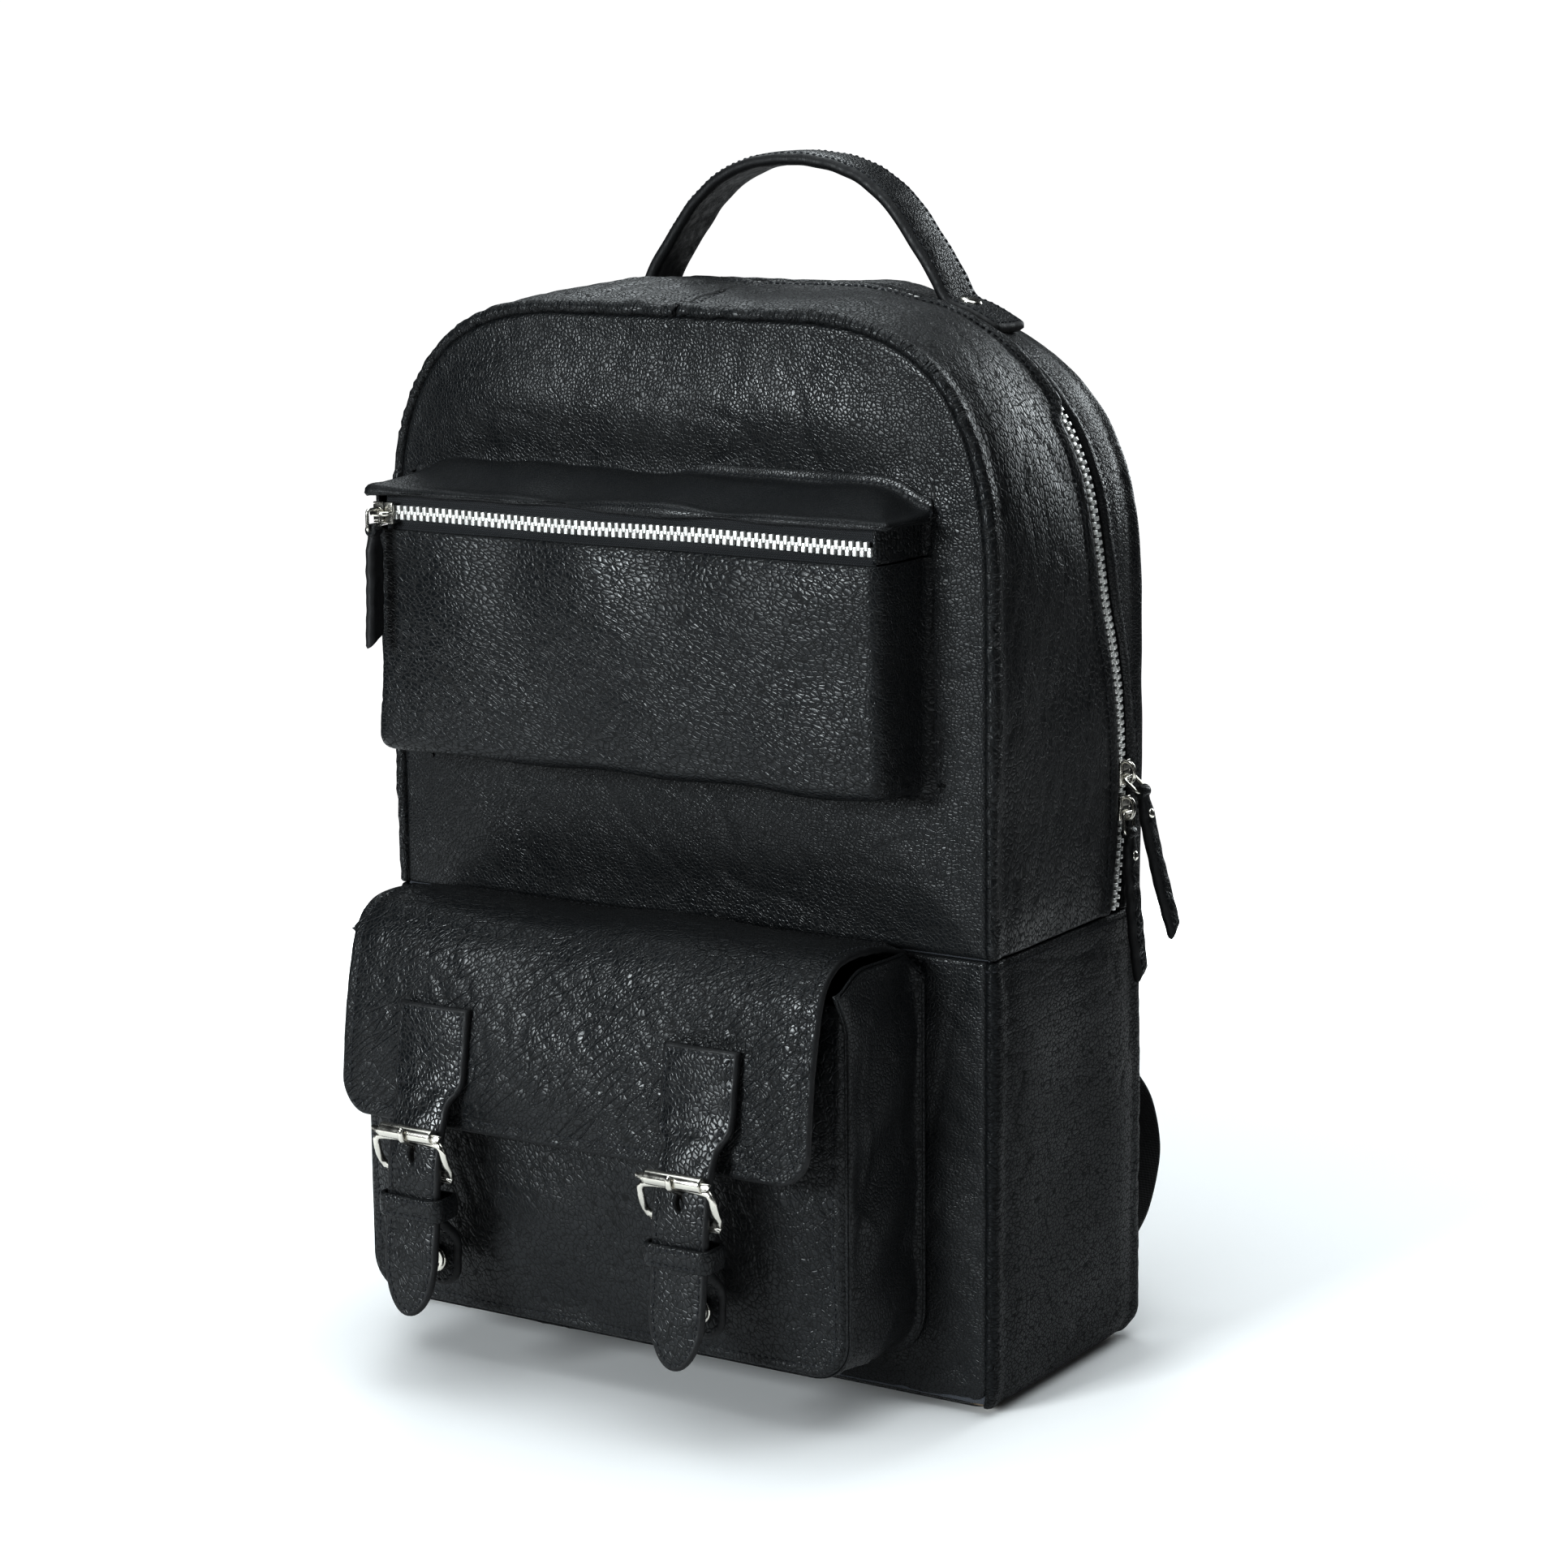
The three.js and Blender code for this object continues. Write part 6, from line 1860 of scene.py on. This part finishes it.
PAD_ROUTE = [
    (101, 86, 140, 21, 8), (97, 89, 165, 24, 12), (87, 92, 215, 28, 13),
    (73, 93, 275, 30, 13), (60, 90, 330, 31, 13), (49, 81, 378, 31, 10), (44, 70, 404, 31, 5),
]
WEBBING_ROUTE = [
    (131, 65.5, 40), (129, 84, 50), (125, 101, 70), (118, 106, 92), (110, 98, 110), (104.5, 87, 124),
]


def pad_frames(side):
    """Rows along a shoulder pad: middle, sideways direction, outward normal, half width, thickness."""
    route = smooth_path([(side * x, y, z, w, t) for x, y, z, w, t in PAD_ROUTE], 60) * MM
    tangent = unit(np.gradient(route[:, :3], axis=0))
    across = np.tile(np.array([1.0, 0, 0]), (len(route), 1))
    normal = unit(np.cross(tangent, across))
    normal *= np.sign(normal[:, 1:2])
    middle = route[:, :3] - normal * route[:, 4:5] / 2
    return middle, across, normal, route[:, 3], route[:, 4]


def cloth_inflated(piece, frames=20, pressure=4.0, cap=4 * MM):
    """Swells a padded piece with a short cloth simulation and keeps the result in its mesh."""
    remesh = piece.modifiers.new("even", "REMESH")
    remesh.mode, remesh.voxel_size = "VOXEL", 4.5 * MM
    bake_modifiers(piece)
    rest = np.array([v.co for v in piece.data.vertices])
    cloth_modifier = piece.modifiers.new("swell", "CLOTH")
    settings = cloth_modifier.settings
    settings.use_pressure = True
    settings.uniform_pressure_force = pressure
    settings.effector_weights.gravity = 0
    settings.quality = 5
    settings.tension_stiffness = settings.compression_stiffness = 25
    scene = bpy.context.scene
    for number in range(1, frames + 1):
        scene.frame_set(number)
    bake_modifiers(piece)
    scene.frame_set(1)
    moved = np.array([v.co for v in piece.data.vertices])
    shift = moved - rest
    size = np.linalg.norm(shift, axis=1, keepdims=True)
    limited = rest + shift * np.minimum(1, cap / np.maximum(size, 1e-9))
    piece.data.vertices.foreach_set("co", limited.astype(np.float32).ravel())
    smooth = piece.modifiers.new("fine", "SUBSURF")
    smooth.levels = smooth.render_levels = 1
    bake_modifiers(piece)
    piece.data.polygons.foreach_set("use_smooth", np.ones(len(piece.data.polygons), bool))


def bake_modifiers(piece):
    bpy.context.view_layer.update()
    evaluated = piece.evaluated_get(bpy.context.evaluated_depsgraph_get())
    mesh = bpy.data.meshes.new_from_object(evaluated)
    piece.modifiers.clear()
    piece.data = mesh


def shoulder_pad(name, side):
    middle, across, normal, half, thick = pad_frames(side)
    verts, sides = [], 24
    for m, a, n, w, t in zip(middle, across, normal, half, thick):
        for j in range(sides):
            angle = 2 * math.pi * j / sides
            c, s = math.cos(angle), math.sin(angle)
            x = np.sign(c) * abs(c) ** 0.6 * (w - 1.5 * MM)
            h = np.sign(s) * abs(s) ** 0.8 * max(t / 2 - 1.2 * MM, 1.4 * MM)
            verts.append(m + a * x + n * (h - 1.0 * MM * (x / w) ** 2))
    faces = ring_faces(len(middle), sides)
    pad = make_object(f"shoulder_pad_{name}_leather", verts, faces, [PAD_LEATHER])
    cloth_inflated(pad)
    body = f"shoulder_{name}"
    finish_piece(pad, body, [f"shoulder_pad_{name}"])
    skin = BVHTree.FromPolygons([v.co for v in pad.data.vertices], [p.vertices for p in pad.data.polygons])

    def on_skin(points):
        hits = [skin.find_nearest(point) for point in points]
        return np.array([hit[0] for hit in hits]), np.array([hit[1] for hit in hits])

    binding, rows = [], []
    for s in (-1, 1):
        edge, _ = on_skin(middle + across * (half * s * 1.1)[:, None])
        binding.append(tube(edge[2:-2], 1.5 * MM, 10, False, (0, 1, 0)))
        above = middle + across * ((half - 6.5 * MM) * s)[:, None] + normal * thick[:, None]
        points, skin_normal = on_skin(above)
        rows.append((points[2:-3], skin_normal[2:-3]))
    plain_piece(f"shoulder_binding_{name}", joined(binding), STRAP_LEATHER, body, "pad_leather")
    stitching(f"shoulder_stitches_{name}", rows, body, "pad_leather")
    strap_cover(name, middle[-1])


def strap_cover(name, pad_end):
    """The tab of leather that covers the top end of a pad, sewn to the back with a box of stitches."""
    half, low, high = 35 * MM, -13 * MM, 15 * MM

    def base_of(p):
        ahead = 8.0 * MM - 0.40 * (p[:, 1] - low) + 1.4 * MM * bump_at(p[:, 1], 0, 8 * MM)
        return np.stack([pad_end[0] + p[:, 0], pad_end[1] + ahead, pad_end[2] + p[:, 1]], 1)

    def relief(p, base, d):
        return 0.3 * MM * waves(base, 18 * MM, 77) - channel(d, 3.4 * MM)

    pattern = rounded_rectangle(-half, half, low, high, (4 * MM,) * 4, 1.8 * MM)
    sheet = Sheet(pattern, surface(base_of, -1.0), relief, roll=1.2 * MM, spacing=2.4 * MM)
    cover = sheet.build(f"shoulder_cover_{name}", BACK_LEATHER, body=None)
    seam = seam_at(sheet, pattern, 3.4 * MM)
    threads = stitching(f"shoulder_cover_stitches_{name}", seam, None, "body_leather")
    top, bottom = (0, pad_end[1], pad_end[2] + high), (0, pad_end[1], pad_end[2] + low)
    for piece in (cover, threads):
        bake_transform(piece)
        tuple(top)
        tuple(bottom)


def route_place(route):
    """Places a flat pattern (x across, s along) on a strap whose route runs up the back."""
    at = np.linspace(0, path_length(route), len(route))

    def place(p):
        along = unit(on_path(route, at, p[:, 1] + STRAP_STEP) - on_path(route, at, p[:, 1] - STRAP_STEP))
        across = np.tile([1.0, 0, 0], (len(p), 1))
        normal = unit(np.cross(across, along))
        return on_path(route, at, p[:, 1]) + across * p[:, :1], -normal

    return place, at[-1]


def webbing(name, side):
    route = smooth_path([(side * x, y, z) for x, y, z in WEBBING_ROUTE], 90) * MM
    place, length = route_place(route)
    half = 12.5 * MM
    pattern = rounded_rectangle(-half, half, 0, length, (0, 0, 0, 0), 1.8 * MM)

    def edge(p, base, d):
        return 0.25 * MM * bump_at(d, 1.4 * MM, 0.9 * MM) + 0.1 * MM * waves(base, 14 * MM, 73)

    sheet = Sheet(pattern, place, edge, thickness=2.0 * MM, spacing=2.2 * MM)
    sheet.build(f"webbing_{name}_weave", WEBBING, [f"webbing_{name}"])
    rows = [sheet.at(straight(-half + 2 * MM, s, half - 2 * MM, s, 12)) for s in (4 * MM, 9 * MM)]
    stitching(f"webbing_stitches_{name}", rows, "root", "webbing")


def adjuster(name, side):
    """A ladder adjuster: a frame with two slots for the webbing."""
    low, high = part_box(f"adjuster_{name}")
    middle = np.array((low + high) / 2)
    turn = Matrix.Rotation(math.radians(-8), 3, "X") @ Matrix.Rotation(side * math.radians(12), 3, "Y")
    across, out, up = (np.array(turn @ Vector(v)) for v in ((1, 0, 0), (0, 1, 0), (0, 0, 1)))
    half = 17 * MM

    def place(p):
        base = middle + out * 2 * MM + across * p[:, :1] + up * p[:, 1:2]
        return base, np.tile(out, (len(p), 1))

    def ribs(p, base, d):
        return 0.35 * MM * bump_at(np.abs(p[:, 1]), 9.6 * MM, 0.6 * MM)

    inner, slot = half - 3.6 * MM, 3.1 * MM
    holes = [
        rounded_rectangle(-inner, inner, z - slot, z + slot, (1 * MM,) * 4, 1 * MM)
        for z in (-5.2 * MM, 5.2 * MM)
    ]
    pattern = rounded_rectangle(-half, half, -11 * MM, 11 * MM, (3 * MM,) * 4, 1 * MM)
    sheet = Sheet(pattern, place, ribs, thickness=4 * MM, roll=1.2 * MM, spacing=1.4 * MM, holes=holes)
    body, replaced = f"shoulder_{name}", [f"adjuster_{name}"]
    sheet.build(f"adjuster_{name}_plastic", PLASTIC, replaced, body=body)


def shoulder_straps():
    for name, side in (("left", -1), ("right", 1)):
        shoulder_pad(name, side)
        webbing(name, side)
        adjuster(name, side)


# ---- Hidden parts that stay as packed ---------------------------------------------------


def dress(material, *nodes):
    for node in nodes:
        mesh = frame["nodes"][node].data
        mesh.materials.clear()
        mesh.materials.append(material)


camera()
studio()
front_panels()
body_sides()
base_and_back()
main_zipper()
main_sliders()
pocket_zipper()
upper_pocket()
lower_pocket()
flap()
closures()
handle()
shoulder_straps()
dress(LINING, "lining")
dress(PADDING, "back_foam", "laptop_sleeve")
dress(BOARD, "base_board")
